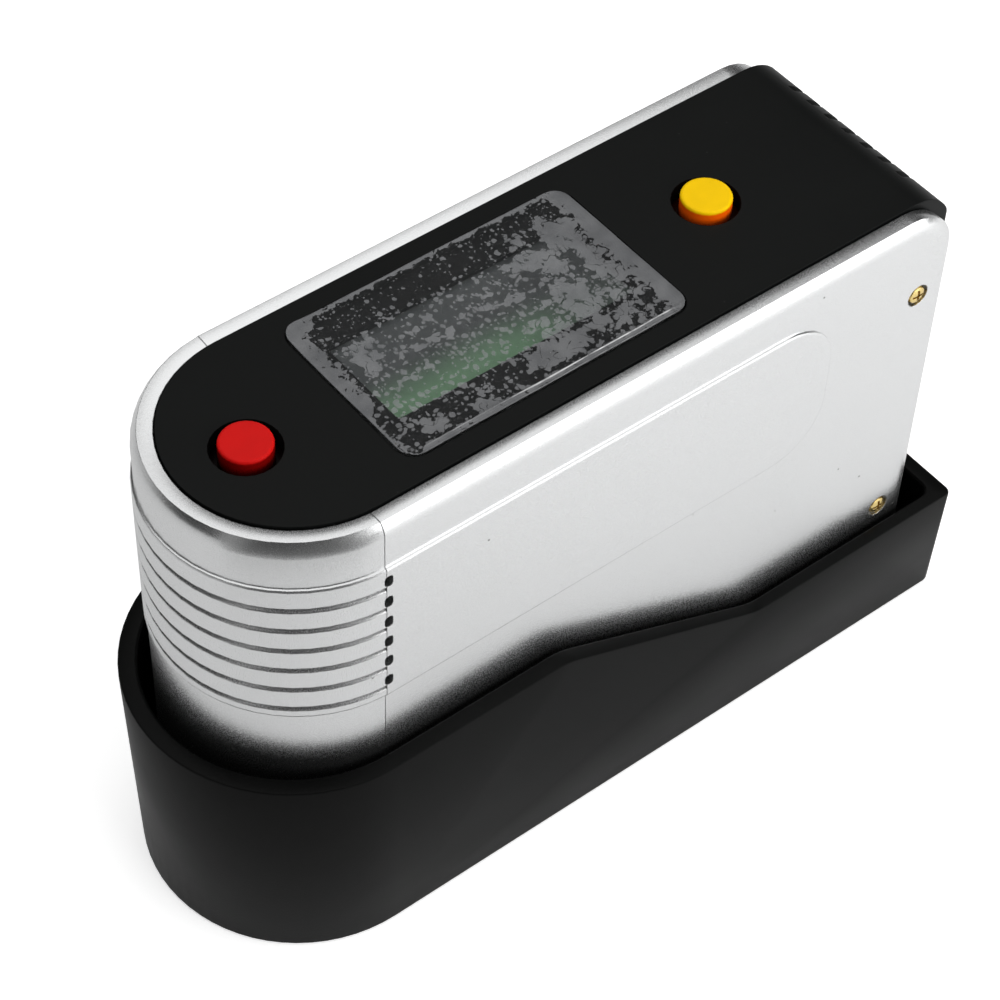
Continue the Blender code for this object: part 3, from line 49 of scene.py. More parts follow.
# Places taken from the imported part: the window lies just under the top of the cover, and the axis
# of the round nose stands behind the middle of the red button
WINDOW_SINK = 0.1 * MM
AXIS_BEHIND_BUTTON = 6.45 * MM
COVER_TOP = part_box("window")[1].z + WINDOW_SINK
NOSE_X = 0.5 * (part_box("red_button")[0].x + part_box("red_button")[1].x) + AXIS_BEHIND_BUTTON
FILM_LOW, FILM_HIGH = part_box("window_film")
FILM_MIDDLE_X = 0.5 * (FILM_LOW.x + FILM_HIGH.x)
FILM_MIDDLE_Z = 0.5 * (FILM_LOW.z + FILM_HIGH.z)
FILM_HALF_X = 0.5 * (FILM_HIGH.x - FILM_LOW.x)
FILM_HALF_Y = 0.5 * (FILM_HIGH.y - FILM_LOW.y)

# Where the film has let go more, or less where the gain is negative: middle and half sizes of
# each oval in mm from the middle of the film (to the rear, to the far side), and the gain
FILM_PATCHES = (
    ((-14.9, 3.2), (1.7, 3.0), 0.42),
    ((-7.8, 1.0), (3.2, 0.7), 0.34),
    ((0.6, 1.4), (2.4, 0.9), 0.28),
    ((4.4, 0.5), (1.5, 0.8), 0.45),
    ((3.7, -4.3), (2.2, 0.9), 0.36),
    ((5.1, -6.3), (2.0, 0.9), 0.5),
    ((10.0, -3.6), (2.0, 3.6), 0.45),
    ((9.8, 4.6), (2.2, 1.5), 0.4),
    ((10.2, 8.2), (1.1, 1.5), 0.4),
    ((12.2, 2.2), (1.4, 1.5), 0.42),
    ((15.6, 6.5), (2.5, 2.9), 0.6),
    ((16.2, -0.5), (1.5, 4.2), 0.3),
    ((3.0, -8.9), (3.9, 1.8), 0.6),
    ((11.0, -8.3), (6.0, 0.7), 0.25),
    ((-8.3, -10.9), (1.8, 1.1), 0.5),
    ((-14.9, -9.7), (1.3, 1.4), 0.32),
    ((-6.6, -8.8), (1.5, 0.6), 0.3),
    ((17.2, 9.2), (1.6, 1.7), -0.5),
    ((12.2, 6.2), (1.2, 1.0), -0.35),
    ((0.0, 9.9), (15.0, 2.4), -0.2),
    ((13.6, 1.0), (1.0, 3.0), -0.2),
)
# An oval of the film's border that stays down
FILM_HELD = ((-18.9, -8.2), (1.7, 4.0))
FILM_STEPS_ALONG, FILM_STEPS_ACROSS = 100, 56

# Angle in degrees up to which joined facets are shaded as one surface
CURVED_LIMIT = {"nose_cap": 14, "near_shell": 14, "far_shell": 14, "top_cover": 20,
                "red_button": 20, "yellow_button": 20}
OTHER_LIMIT = 32
JOIN_REACH = 0.002 * MM

# The photograph's view: azimuth, elevation and roll in degrees, and the point looked at from the
# nose axis at the top of the cover
VIEW_AZIMUTH = -39.83
VIEW_ELEVATION = 48.754
VIEW_ROLL = 2.393
VIEW_TARGET = Vector((30.284, 0.173, -33.977)) * MM
VIEW_DISTANCE = 357.503 * MM
VIEW_LENS = 103.8
VIEW_SENSOR = 36.0

# Even light from all round on the surfaces, and the least that a reflection sees
AMBIENT = 0.3
DIM = 0.05
# The pale band that reflections see: it fades with height, and away from this direction
BAND_LEVEL = 0.5
BAND_HEIGHT = 0.35
BAND_TOWARDS = (0.45, 0.89, 0.0)
BAND_REAR = (-0.2, 0.5)
BAND_FRONT_SHARE = 0.08

# The floor: half its side, squares a side, how far it lies below the foot, and its glow
FLOOR_HALF = 0.5
FLOOR_STEPS = 10
FLOOR_SINK = 0.02 * MM
FLOOR_GLOW_SEEN = 0.5
FLOOR_GLOW_MIRRORED = 0.02

# The dark screen round the nose: radius and height in metres, from and to in degrees, and squares
SCREEN_RADIUS = 0.093
SCREEN_HEIGHT = 0.26
SCREEN_FROM, SCREEN_TO = 192.0, 278.0
SCREEN_STEPS_UP, SCREEN_STEPS_ROUND = 6, 12


class Nodes:
    """Small helpers for a shader node tree."""

    def __init__(self, tree):
        self.tree = tree

    def new(self, kind):
        return self.tree.nodes.new("ShaderNode" + kind)

    def link(self, out, into):
        self.tree.links.new(out, into)

    def math(self, operation, a, b=None):
        node = self.new("Math")
        node.operation = operation
        for socket, value in zip(node.inputs, (a, b)):
            if isinstance(value, (int, float)):
                socket.default_value = value
            elif value is not None:
                self.link(value, socket)
        return node.outputs[0]

    def plus(self, a, b):
        return self.math('ADD', a, b)

    def minus(self, a, b):
        return self.math('SUBTRACT', a, b)

    def times(self, a, b):
        return self.math('MULTIPLY', a, b)

    def away(self, a, b):
        """Distance between two values."""
        return self.math('ABSOLUTE', self.minus(a, b))

    def most(self, *parts):
        """The largest of several values."""
        largest = parts[-1]
        for part in reversed(parts[:-1]):
            largest = self.math('MAXIMUM', part, largest)
        return largest

    def spread(self, value, low, high, out_low=0.0, out_high=1.0, smooth=False):
        """A value from low to high taken to out_low to out_high, and held beyond them."""
        node = self.new("MapRange")
        node.interpolation_type = 'SMOOTHSTEP' if smooth else 'LINEAR'
        node.inputs["From Min"].default_value = low
        node.inputs["From Max"].default_value = high
        node.inputs["To Min"].default_value = out_low
        node.inputs["To Max"].default_value = out_high
        self.link(value, node.inputs["Value"])
        return node.outputs["Result"]

    def blend(self, factor, a, b):
        """Colour a where the factor is 0 and colour b where it is 1."""
        node = self.new("Mix")
        node.data_type = 'RGBA'
        self.link(factor, node.inputs["Factor"])
        for socket, value in ((node.inputs[6], a), (node.inputs[7], b)):
            if isinstance(value, tuple):
                socket.default_value = (*value, 1.0)
            else:
                self.link(value, socket)
        return node.outputs[2]

    def split(self, vector):
        node = self.new("SeparateXYZ")
        self.link(vector, node.inputs[0])
        return node.outputs[0], node.outputs[1], node.outputs[2]

    def mirrored(self, path):
        """One for the rays that reflections and glass send out."""
        return self.most(path.outputs["Is Glossy Ray"], path.outputs["Is Transmission Ray"])


class Look(Nodes):
    """A material under construction, with its Principled shader and object coordinates."""

    def __init__(self, name):
        self.material = bpy.data.materials.new(name)
        self.material.use_nodes = True
        super().__init__(self.material.node_tree)
        self.shader = self.tree.nodes["Principled BSDF"]
        self.place = self.new("TexCoord").outputs["Object"]

    def fixed(self, **values):
        """Constants, set directly on the shader."""
        for key, value in values.items():
            self.shader.inputs[key.replace("_", " ")].default_value = value

    def colour(self, out):
        self.link(out, self.shader.inputs["Base Color"])

    def rough(self, out):
        self.link(out, self.shader.inputs["Roughness"])

    def normal(self, out):
        self.link(out, self.shader.inputs["Normal"])

    def alpha(self, out):
        self.link(out, self.shader.inputs["Alpha"])

    def glow(self, out):
        """White emission of the given strength."""
        self.link(self.blend(out, BLACK, WHITE), self.shader.inputs["Emission Color"])
        self.fixed(Emission_Strength=1.0)

    def axes(self):
        return self.split(self.place)

    def noise(self, size, detail=2.0, roughness=0.5, distortion=0.0, stretch=(1, 1, 1),
              offset=(0, 0, 0)):
        """Noise whose features are about size metres across."""
        mapping = self.new("Mapping")
        mapping.inputs["Scale"].default_value = stretch
        mapping.inputs["Location"].default_value = offset
        self.link(self.place, mapping.inputs["Vector"])
        node = self.new("TexNoise")
        node.inputs["Scale"].default_value = 1.0 / size
        node.inputs["Detail"].default_value = detail
        node.inputs["Roughness"].default_value = roughness
        node.inputs["Distortion"].default_value = distortion
        self.link(mapping.outputs[0], node.inputs["Vector"])
        return node.outputs["Fac"]

    def cells(self, size):
        """Distance to the nearest of scattered points about size metres apart."""
        node = self.new("TexVoronoi")
        node.inputs["Scale"].default_value = 1.0 / size
        self.link(self.place, node.inputs["Vector"])
        return node.outputs["Distance"]

    def bump(self, height, distance, strength=1.0, under=None):
        node = self.new("Bump")
        node.inputs["Distance"].default_value = distance
        node.inputs["Strength"].default_value = strength
        self.link(height, node.inputs["Height"])
        if under is not None:
            self.link(under, node.inputs["Normal"])
        return node.outputs[0]

    def soft_edges(self, radius):
        node = self.new("Bevel")
        node.samples = 6
        node.inputs["Radius"].default_value = radius
        return node.outputs[0]

    def wavy(self, reach, size):
        """Object coordinates pushed about by up to reach metres."""
        node = self.new("TexNoise")
        node.inputs["Scale"].default_value = 1.0 / size
        node.inputs["Detail"].default_value = 1.0
        self.link(self.place, node.inputs["Vector"])
        centred = self.new("VectorMath")
        centred.operation = 'MULTIPLY_ADD'
        centred.inputs[1].default_value = (2.0 * reach,) * 3
        centred.inputs[2].default_value = (-reach,) * 3
        self.link(node.outputs["Color"], centred.inputs[0])
        total = self.new("VectorMath")
        total.operation = 'ADD'
        self.link(self.place, total.inputs[0])
        self.link(centred.outputs[0], total.inputs[1])
        return total.outputs[0]

    def blobs(self, where, size, low, high, merge=0.0):
        """Round blobs: positive inside, each cell with its own radius from low to high."""
        node = self.new("TexVoronoi")
        node.voronoi_dimensions = '2D'
        if merge:
            node.feature = 'SMOOTH_F1'
            node.inputs["Smoothness"].default_value = merge
        node.inputs["Scale"].default_value = 1.0 / size
        self.link(where, node.inputs["Vector"])
        channels = self.new("SeparateColor")
        self.link(node.outputs["Color"], channels.inputs[0])
        radius = self.plus(self.times(channels.outputs[0], high - low), low)
        return self.minus(radius, node.outputs["Distance"])

    def patch(self, x, y, at, half, soft):
        """One inside an oval, sizes in mm, falling to nought over soft."""
        u = self.math('DIVIDE', self.minus(x, at[0] * MM), half[0] * MM)
        v = self.math('DIVIDE', self.minus(y, at[1] * MM), half[1] * MM)
        reach = self.math('SQRT', self.plus(self.times(u, u), self.times(v, v)))
        return self.spread(reach, 1.0 + soft, 1.0 - soft, smooth=True)


def darker(colour, share):
    return tuple(channel * share for channel in colour)


def plain(name, colour, roughness, metallic=0.0, grain=0.25 * MM, depth=0.01 * MM, vary=0.85,
          ior=1.5, stretch=(1, 1, 1)):
    """Moulded or machined stock: grain, slow colour drift, uneven sheen and softened edges."""
    look = Look(name)
    look.fixed(Metallic=metallic, IOR=ior)
    drift = look.noise(6.0 * MM, 3.0, stretch=stretch)
    fine = look.noise(grain, 3.0, 0.6, stretch=stretch)
    both = look.plus(look.times(drift, 0.6), look.times(fine, 0.4))
    look.colour(look.blend(look.spread(both, 0.3, 0.7), darker(colour, vary), colour))
    look.rough(look.spread(both, 0.3, 0.7, roughness * 0.88, roughness * 1.12))
    look.normal(look.bump(fine, depth, 1.0, look.soft_edges(0.12 * MM)))
    return look.material


def silver():
    """The silver casing: metallic lacquer with fine flake, slight orange peel and a few specks."""
    look = Look("silver_lacquer")
    look.fixed(Metallic=1.0, IOR=1.5)
    flake = look.noise(0.09 * MM, 1.0, 0.5)
    drift = look.noise(9.0 * MM, 2.0)
    base = look.blend(look.spread(flake, 0.3, 0.7), (0.73, 0.738, 0.74), (0.82, 0.826, 0.83))
    base = look.blend(look.spread(drift, 0.35, 0.65), base, (0.78, 0.786, 0.79))
    speck = look.spread(look.cells(6.5 * MM), 0.018, 0.026, 1.0, 0.0)
    look.colour(look.blend(speck, base, (0.16, 0.16, 0.15)))
    look.rough(look.spread(flake, 0.3, 0.7, 0.22, 0.3))
    peel = look.noise(0.7 * MM, 1.0)
    normal = look.bump(peel, 0.004 * MM, 1.0, look.soft_edges(0.12 * MM))
    look.normal(look.bump(flake, 0.002 * MM, 1.0, normal))
    return look.material


def cover_black():
    """The black cover: fine spark-eroded grain, a trace of dust and a slow change of sheen."""
    look = Look("cover_black")
    look.fixed(Metallic=0.0, IOR=1.5, Specular_IOR_Level=0.1)
    grain = look.noise(0.16 * MM, 2.0, 0.6)
    drift = look.noise(11.0 * MM, 3.0)
    base = look.blend(look.spread(drift, 0.3, 0.7), (0.0042, 0.0047, 0.0045),
                      (0.0054, 0.006, 0.0057))
    dust = look.spread(look.cells(2.6 * MM), 0.016, 0.03, 1.0, 0.0)
    keep = look.spread(look.noise(14.0 * MM, 1.0), 0.5, 0.62)
    look.colour(look.blend(look.times(dust, keep), base, (0.05, 0.05, 0.05)))
    look.rough(look.spread(drift, 0.3, 0.7, 0.4, 0.48))
    look.normal(look.bump(grain, 0.008 * MM, 1.0, look.soft_edges(0.15 * MM)))
    return look.material


def holder_black():
    """The holder: satin black moulding, smoother than the cover."""
    look = Look("holder_black")
    look.fixed(Metallic=0.0, IOR=1.5, Specular_IOR_Level=0.07)
    grain = look.noise(0.3 * MM, 2.0, 0.5)
    drift = look.noise(18.0 * MM, 2.0, stretch=(1, 1, 2))
    look.colour(look.blend(look.spread(drift, 0.3, 0.7), (0.003, 0.0031, 0.003),
                           (0.0042, 0.0044, 0.0042)))
    look.rough(look.spread(drift, 0.3, 0.7, 0.3, 0.37))
    look.normal(look.bump(grain, 0.006 * MM, 1.0, look.soft_edges(0.2 * MM)))
    return look.material


def key(name, colour, shade):
    """A push button: clean glossy moulding, with painted shade on its side and under the cover."""
    look = Look(name)
    look.fixed(Metallic=0.0, IOR=1.5, Specular_IOR_Level=0.06)
    fine = look.noise(0.2 * MM, 2.0)
    drift = look.noise(2.5 * MM, 2.0)
    height = look.axes()[2]
    # painted shade: the side takes the shade colour, and below the cover it goes nearly black
    side = look.spread(height, COVER_TOP + 0.45 * MM, COVER_TOP + 0.85 * MM, smooth=True)
    depth = look.spread(height, COVER_TOP - 2.0 * MM, COVER_TOP - 0.1 * MM, smooth=True)
    top = look.blend(look.spread(drift, 0.3, 0.7), darker(colour, 0.94), colour)
    look.colour(look.blend(depth, darker(shade, 0.015), look.blend(side, shade, top)))
    look.rough(look.spread(drift, 0.3, 0.7, 0.3, 0.36))
    look.normal(look.bump(fine, 0.004 * MM, 1.0, look.soft_edges(0.22 * MM)))
    return look.material


def display():
    """The display behind the window: grey-green glass, with painted light towards the near edge."""
    look = Look("display_glass")
    look.fixed(Metallic=0.0, IOR=1.5, Roughness=0.12, Specular_IOR_Level=0.15)
    x, y, _ = look.axes()
    # the green tint is the display's own; its brightness is painted: painted light towards the near
    # edge and the nose end, painted shade of the bezel towards the far edge and the rear
    across = look.spread(y, 2.5 * MM, -5.0 * MM, smooth=True)
    along = look.spread(x, NOSE_X + 41.0 * MM, NOSE_X + 28.0 * MM, 0.12, 1.0, smooth=True)
    green = look.times(across, along)
    cloud = look.noise(4.0 * MM, 2.0)
    base = look.blend(green, (0.105, 0.115, 0.116), (0.23, 0.43, 0.25))
    haze = look.times(look.spread(cloud, 0.3, 0.7), 0.1)
    look.colour(look.blend(haze, base, (0.03, 0.035, 0.035)))
    look.normal(look.bump(look.noise(0.3 * MM, 1.0), 0.001 * MM))
    return look.material


def window_clear():
    """The window: clear polished sheet."""
    look = Look("window_clear")
    look.fixed(Metallic=0.0, IOR=1.49, Specular_IOR_Level=0.12)
    scratch = look.noise(0.5 * MM, 3.0, stretch=(1, 7, 1))
    drift = look.noise(7.0 * MM, 2.0)
    look.colour(look.blend(look.spread(drift, 0.3, 0.7), (0.02, 0.021, 0.021),
                           (0.03, 0.031, 0.031)))
    look.rough(look.spread(scratch, 0.35, 0.7, 0.04, 0.1))
    look.alpha(look.spread(drift, 0.3, 0.7, 0.08, 0.11))
    look.normal(look.bump(scratch, 0.0005 * MM))
    return look.material


def lifted_parts(look):
    """One where the film has let go. u runs to the rear and y to the far side, from its middle."""
    x, y, _ = look.axes()
    u = look.minus(x, FILM_MIDDLE_X)
    where = look.wavy(0.3 * MM, 0.9 * MM)

    # how readily it lets go: more to the rear, near the display and at the patches
    over_glass = look.spread(y, 7.5 * MM, 5.5 * MM)
    rear = look.spread(u, 4.0 * MM, 12.0 * MM, smooth=True)
    lean = look.plus(look.times(rear, 0.16), look.times(over_glass, 0.09))
    for at, half, gain in FILM_PATCHES:
        lean = look.plus(lean, look.times(look.patch(u, y, at, half, 0.35), gain))

    # round blobs of three sizes, and wide ragged parts
    large = look.plus(look.blobs(where, 1.7 * MM, -0.36, 0.3, 0.2), look.times(lean, 0.8))
    middle = look.plus(look.blobs(where, 0.95 * MM, -0.4, 0.44, 0.12), look.times(lean, 0.5))
    small = look.plus(look.blobs(where, 0.5 * MM, -0.58, 0.35), look.times(lean, 0.35))
    wide = look.plus(look.noise(1.5 * MM, 2.0, 0.45, 0.3), look.times(lean, 0.5))
    wide = look.times(look.minus(wide, 0.68), 3.0)
    loose = look.most(look.minus(large, 0.13), look.minus(middle, 0.03), small, wide)

    # thin curling lines where it still holds
    curl = look.noise(2.1 * MM, 1.0, 0.5, 0.6, offset=(0.02, 0.03, 0.0))
    line = look.spread(look.away(curl, 0.5), 0.018, 0.005)
    amount = look.spread(lean, 0.12, 0.3)
    loose = look.minus(loose, look.times(look.times(line, amount), 0.6))

    # the border, lifted all round but for one oval and some tears
    ragged = look.times(look.minus(look.noise(1.3 * MM, 2.0, 0.5), 0.5), 3.0 * MM)
    left = look.minus(-FILM_HALF_X + 2.0 * MM, look.plus(u, ragged))
    corner = look.minus(look.times(look.minus(y, u), 0.7071), 19.6 * MM)
    corner = look.plus(corner, look.times(ragged, 0.6))
    right = look.plus(look.minus(u, FILM_HALF_X - 2.3 * MM), ragged)
    far = look.plus(look.minus(y, FILM_HALF_Y - 0.5 * MM), look.times(ragged, 0.5))
    near = look.minus(-FILM_HALF_Y + 1.0 * MM, look.plus(y, look.times(ragged, 0.6)))
    border = look.math('DIVIDE', look.most(left, corner, right, far, near), MM)
    border = look.minus(border, look.times(look.patch(u, y, *FILM_HELD, 0.25), 1.5))
    tears = look.spread(look.noise(1.0 * MM, 2.0, 0.6, 0.8, offset=(0.0, 0.04, 0.0)), 0.6, 0.66)
    tears = look.times(tears, look.spread(border, 1.6, 0.6))
    border = look.minus(border, look.times(tears, 3.0))
    return look.spread(look.most(loose, border), -0.05, 0.08, smooth=True)


def film():
    """The protective film: clear where it clings, milky where it has let go, and a painted crease
    highlight.
    """
    look = Look("protective_film")
    look.fixed(Metallic=0.0, IOR=1.46, Specular_IOR_Level=0.15)
    lifted = lifted_parts(look)
    cloud = look.noise(3.0 * MM, 2.0)
    fibre = look.spread(look.cells(2.4 * MM), 0.012, 0.022, 1.0, 0.0)
    milky = look.blend(look.spread(cloud, 0.3, 0.7), (0.25, 0.255, 0.265), (0.36, 0.365, 0.375))

    # painted highlight: the bright line on the crease along the near edge, and a fainter one on the
    # rim
    x, y, _ = look.axes()
    shine = look.spread(look.noise(2.5 * MM, 2.0, stretch=(1, 0.2, 1)), 0.35, 0.6, 0.35, 1.0)
    along = look.spread(x, FILM_LOW.x + 4.0 * MM, FILM_HIGH.x - 10.0 * MM, 0.35, 1.0)
    shine = look.times(shine, along)
    waver = look.plus(y, look.times(look.noise(7.0 * MM, 1.0), 0.3 * MM))
    ridge, rim = (look.spread(look.away(waver, place - FILM_HALF_Y), half, 0.3 * half, smooth=True)
                  for place, half in ((0.92 * MM, 0.13 * MM), (0.28 * MM, 0.09 * MM)))
    ends = look.times(look.spread(x, FILM_LOW.x + 2.0 * MM, FILM_LOW.x + 4.0 * MM),
                      look.spread(x, FILM_HIGH.x - 1.8 * MM, FILM_HIGH.x - 3.5 * MM))
    painted_crease_highlight = look.times(look.times(look.most(ridge, look.times(rim, 0.5)), ends), shine)

    # the painted highlight turns the film nearly white along the crease and the rim
    milky = look.blend(painted_crease_highlight, milky, (0.95, 0.95, 0.95))
    look.colour(look.blend(fibre, milky, (0.75, 0.75, 0.75)))
    look.rough(look.spread(lifted, 0.0, 1.0, 0.2, 0.45))
    look.alpha(look.most(look.spread(lifted, 0.0, 1.0, 0.02, 0.33), painted_crease_highlight, look.times(fibre, 0.7)))
    ripple = look.noise(1.4 * MM, 2.0, stretch=(1, 2, 1))
    height = look.plus(look.times(lifted, 0.02 * MM), look.times(ripple, 0.05 * MM))
    look.normal(look.bump(height, 1.0, 0.5))
    return look.material


def grid_piece(name, rows, material, smooth=False):
    """An object from rows of points, with a square between every four."""
    bm = bmesh.new()
    rows = [[bm.verts.new(point) for point in row] for row in rows]
    for row, above in zip(rows, rows[1:]):
        for i in range(len(row) - 1):
            bm.faces.new((row[i], row[i + 1], above[i + 1], above[i])).smooth = smooth
    mesh = bpy.data.meshes.new(name)
    bm.to_mesh(mesh)
    bm.free()
    mesh.materials.append(material)
    item = bpy.data.objects.new(name, mesh)
    bpy.context.scene.collection.objects.link(item)
    return item


def ripple(x, y, waves, layer, shift=0.0):
    """Smooth noise from -1 to 1, with about this many waves to the metre."""
    return noise.noise(Vector((x * waves + shift, y * waves, layer)))


def ridge(away, width):
    return math.exp(-(away / width) ** 2)


def closer_at_ends(t):
    """A step from -1 to 1, moved so that steps lie closer together at both ends."""
    return t * (1.5 - 0.5 * t * t) * 0.7 + t * 0.3


def film_point(s, t):
    """A point of the film for s along and t across it, both from -1 to 1."""
    corner = 2.2 * MM
    y = t * FILM_HALF_Y
    reach = FILM_HALF_X
    over = abs(y) - (FILM_HALF_Y - corner)
    if over > 0.0:
        reach -= corner - math.sqrt(max(corner * corner - over * over, 0.0))
    x = s * reach
    # the raised rim, the crease along the near edge, the lifted corner and the wrinkles
    edge = min(reach - abs(x), FILM_HALF_Y - abs(y))
    rise = 0.16 * MM * ridge(edge, 0.28 * MM)
    wander = 0.14 * MM * ripple(x, y, 90.0, 3.0)
    fold = FILM_HALF_Y + y - 0.75 * MM + wander
    rise += 0.22 * MM * ridge(fold, 0.16 * MM)
    lifted = max(0.0, 1.0 - math.hypot(x + FILM_HALF_X, y - FILM_HALF_Y) / (5.0 * MM))
    rise += 0.35 * MM * lifted ** 1.5
    rise += 0.03 * MM * ripple(x, y, 350.0, 7.0)
    rise += 0.04 * MM * ripple(x, y, 140.0, 1.0)
    # an outline that isn't quite straight
    swell = 0.12 * MM * ripple(x, y, 110.0, 5.0, 9.0)
    return FILM_MIDDLE_X + x + swell * s, y + swell * t, FILM_MIDDLE_Z + rise


def film_sheet():
    """The wrinkled sheet itself, in place of the flat solid."""
    along, across = ([closer_at_ends(2.0 * i / steps - 1.0) for i in range(steps + 1)]
                     for steps in (FILM_STEPS_ALONG, FILM_STEPS_ACROSS))
    rows = [[film_point(s, t) for s in along] for t in across]
    item = grid_piece("film_sheet", rows, film(), smooth=True)
    step = item.modifiers.new("thickness", 'SOLIDIFY')
    step.thickness = 0.05 * MM
    step.offset = 0.0
    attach(item, "meter")
    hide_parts("window_film")


def smoothing(limit):
    """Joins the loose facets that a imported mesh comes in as, and shades them smooth up to limit."""
    tree = bpy.data.node_groups.new("joined_facets_" + str(limit), 'GeometryNodeTree')
    tree.interface.new_socket("Geometry", in_out='INPUT', socket_type='NodeSocketGeometry')
    tree.interface.new_socket("Geometry", in_out='OUTPUT', socket_type='NodeSocketGeometry')
    make = tree.nodes.new
    link = tree.links.new
    come = make('NodeGroupInput')
    go = make('NodeGroupOutput')
    merge = make('GeometryNodeMergeByDistance')
    merge.inputs["Distance"].default_value = JOIN_REACH
    drop = make('GeometryNodeRemoveAttribute')
    drop.inputs["Name"].default_value = "custom_normal"
    smooth = make('GeometryNodeSetShadeSmooth')
    angle = make('GeometryNodeInputMeshEdgeAngle')
    compare = make('FunctionNodeCompare')
    compare.data_type = 'FLOAT'
    compare.operation = 'GREATER_THAN'
    compare.inputs[1].default_value = math.radians(limit)
    crisp = make('GeometryNodeSetShadeSmooth')
    crisp.domain = 'EDGE'
    crisp.inputs["Shade Smooth"].default_value = False
    link(come.outputs[0], merge.inputs["Geometry"])
    link(merge.outputs[0], drop.inputs["Geometry"])
    link(drop.outputs[0], smooth.inputs["Geometry"])
    link(angle.outputs["Unsigned Angle"], compare.inputs[0])
    link(compare.outputs[0], crisp.inputs["Selection"])
    link(smooth.outputs[0], crisp.inputs["Geometry"])
    link(crisp.outputs[0], go.inputs[0])
    return tree


def materials():
    """The material of every node: by name, or for the screws and the rest as a group."""
    pick = {
        "top_cover": cover_black(),
        "holder": holder_black(),
        # the third colour of each key is the painted shade of its side
        "red_button": key("red_key", (0.66, 0.008, 0.007), (0.2, 0.0015, 0.001)),
        "yellow_button": key("yellow_key", (1.0, 0.62, 0.001), (1.0, 0.12, 0.001)),
        "display_glass": display(),
        "window": window_clear(),
        "main_board": plain("board_green", (0.02, 0.12, 0.05), 0.4, 0.0, 0.6 * MM, 0.02 * MM, 0.6,
                            stretch=(1, 3, 1)),
        "aa_cell": plain("cell_jacket", (0.1, 0.1, 0.11), 0.32, 0.3, 0.5 * MM, 0.004 * MM, 0.75,
                         stretch=(1, 3, 3)),
        "calibration_tile": plain("black_tile", (0.004, 0.004, 0.005), 0.05, 0.0, 2.0 * MM,
                                  0.0005 * MM, ior=1.52),
        "tile_pad": plain("foam_pad", (0.05, 0.05, 0.05), 0.9, 0.0, 0.35 * MM, 0.15 * MM, 0.6),
        "green_filter": plain("filter_green", (0.05, 0.3, 0.08), 0.1, 0.0, 1.0 * MM, 0.0005 * MM),
        "lamp": plain("lamp_clear", (0.85, 0.87, 0.9), 0.1, 0.0, 1.0 * MM, 0.0005 * MM, 0.95),
    }
    shared = (
        (silver(), ("nose_cap", "near_shell", "far_shell")),
        (plain("plated_contact", (0.72, 0.72, 0.7), 0.22, 1.0, 0.2 * MM, 0.002 * MM, 0.9,
               stretch=(1, 4, 4)), ("cell_spring", "front_contact", "light_sensor")),
        (plain("lens_glass", (0.88, 0.91, 0.91), 0.06, 0.0, 1.5 * MM, 0.0003 * MM, 0.97, ior=1.52),
         ("source_lens", "receiver_lens")),
        (plain("black_anodised", (0.012, 0.012, 0.012), 0.5, 0.85, 0.12 * MM, vary=0.8),
         ("optics_block", "source_slit", "receiver_slit", "source_spacer", "receiver_spacer")),
    )
    for material, names in shared:
        pick.update(dict.fromkeys(names, material))
    black = plain("inner_black", (0.009, 0.0095, 0.009), 0.45)
    brass = plain("brass_screw", (0.86, 0.66, 0.27), 0.26, 1.0, 0.1 * MM, 0.003 * MM, 0.8)
    steel = plain("zinc_steel", (0.6, 0.61, 0.62), 0.3, 1.0, 0.15 * MM, 0.004 * MM, 0.85)
    for name in NODES:
        if name in pick:
            continue
        if name.startswith(("base_screw", "board_screw")):
            pick[name] = steel
        elif name.endswith("_screw"):
            pick[name] = brass
        else:
            pick[name] = black
    return pick


def dress():
    """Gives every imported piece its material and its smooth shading."""
    pick = materials()
    join = {limit: smoothing(limit) for limit in sorted({*CURVED_LIMIT.values(), OTHER_LIMIT})}
    for name, item in NODES.items():
        for place in item.material_slots:
            place.material = pick[name]
        step = item.modifiers.new("joined_facets", 'NODES')
        step.node_group = join[CURVED_LIMIT.get(name, OTHER_LIMIT)]


def set_stage():
    """The floor: pale, white to the camera, with the object's shadow; painted shade darkens it to -x.
    """
    look = Look("pale_floor")
    look.fixed(Roughness=0.9, IOR=1.3)
    path = look.new("LightPath")
    camera = path.outputs["Is Camera Ray"]
    x, _, _ = look.axes()
    # painted shade: to all rays but the camera's, the floor is darker towards -x
    ground = look.blend(look.spread(x, -0.12, 0.03), (0.79, 0.79, 0.79), (0.94, 0.94, 0.94))
    pale = look.blend(look.times(look.noise(60.0 * MM, 1.0), 0.1), ground, (0.9, 0.9, 0.9))
    look.colour(look.blend(camera, pale, (0.98, 0.98, 0.98)))
    look.glow(look.plus(look.times(camera, FLOOR_GLOW_SEEN),
                        look.times(look.mirrored(path), FLOOR_GLOW_MIRRORED)))

    at = [FLOOR_HALF * (2.0 * i / FLOOR_STEPS - 1.0) for i in range(FLOOR_STEPS + 1)]
    floor = grid_piece("floor", [[(x, y, 0.0) for x in at] for y in at], look.material)
    floor.location.z = -FLOOR_SINK


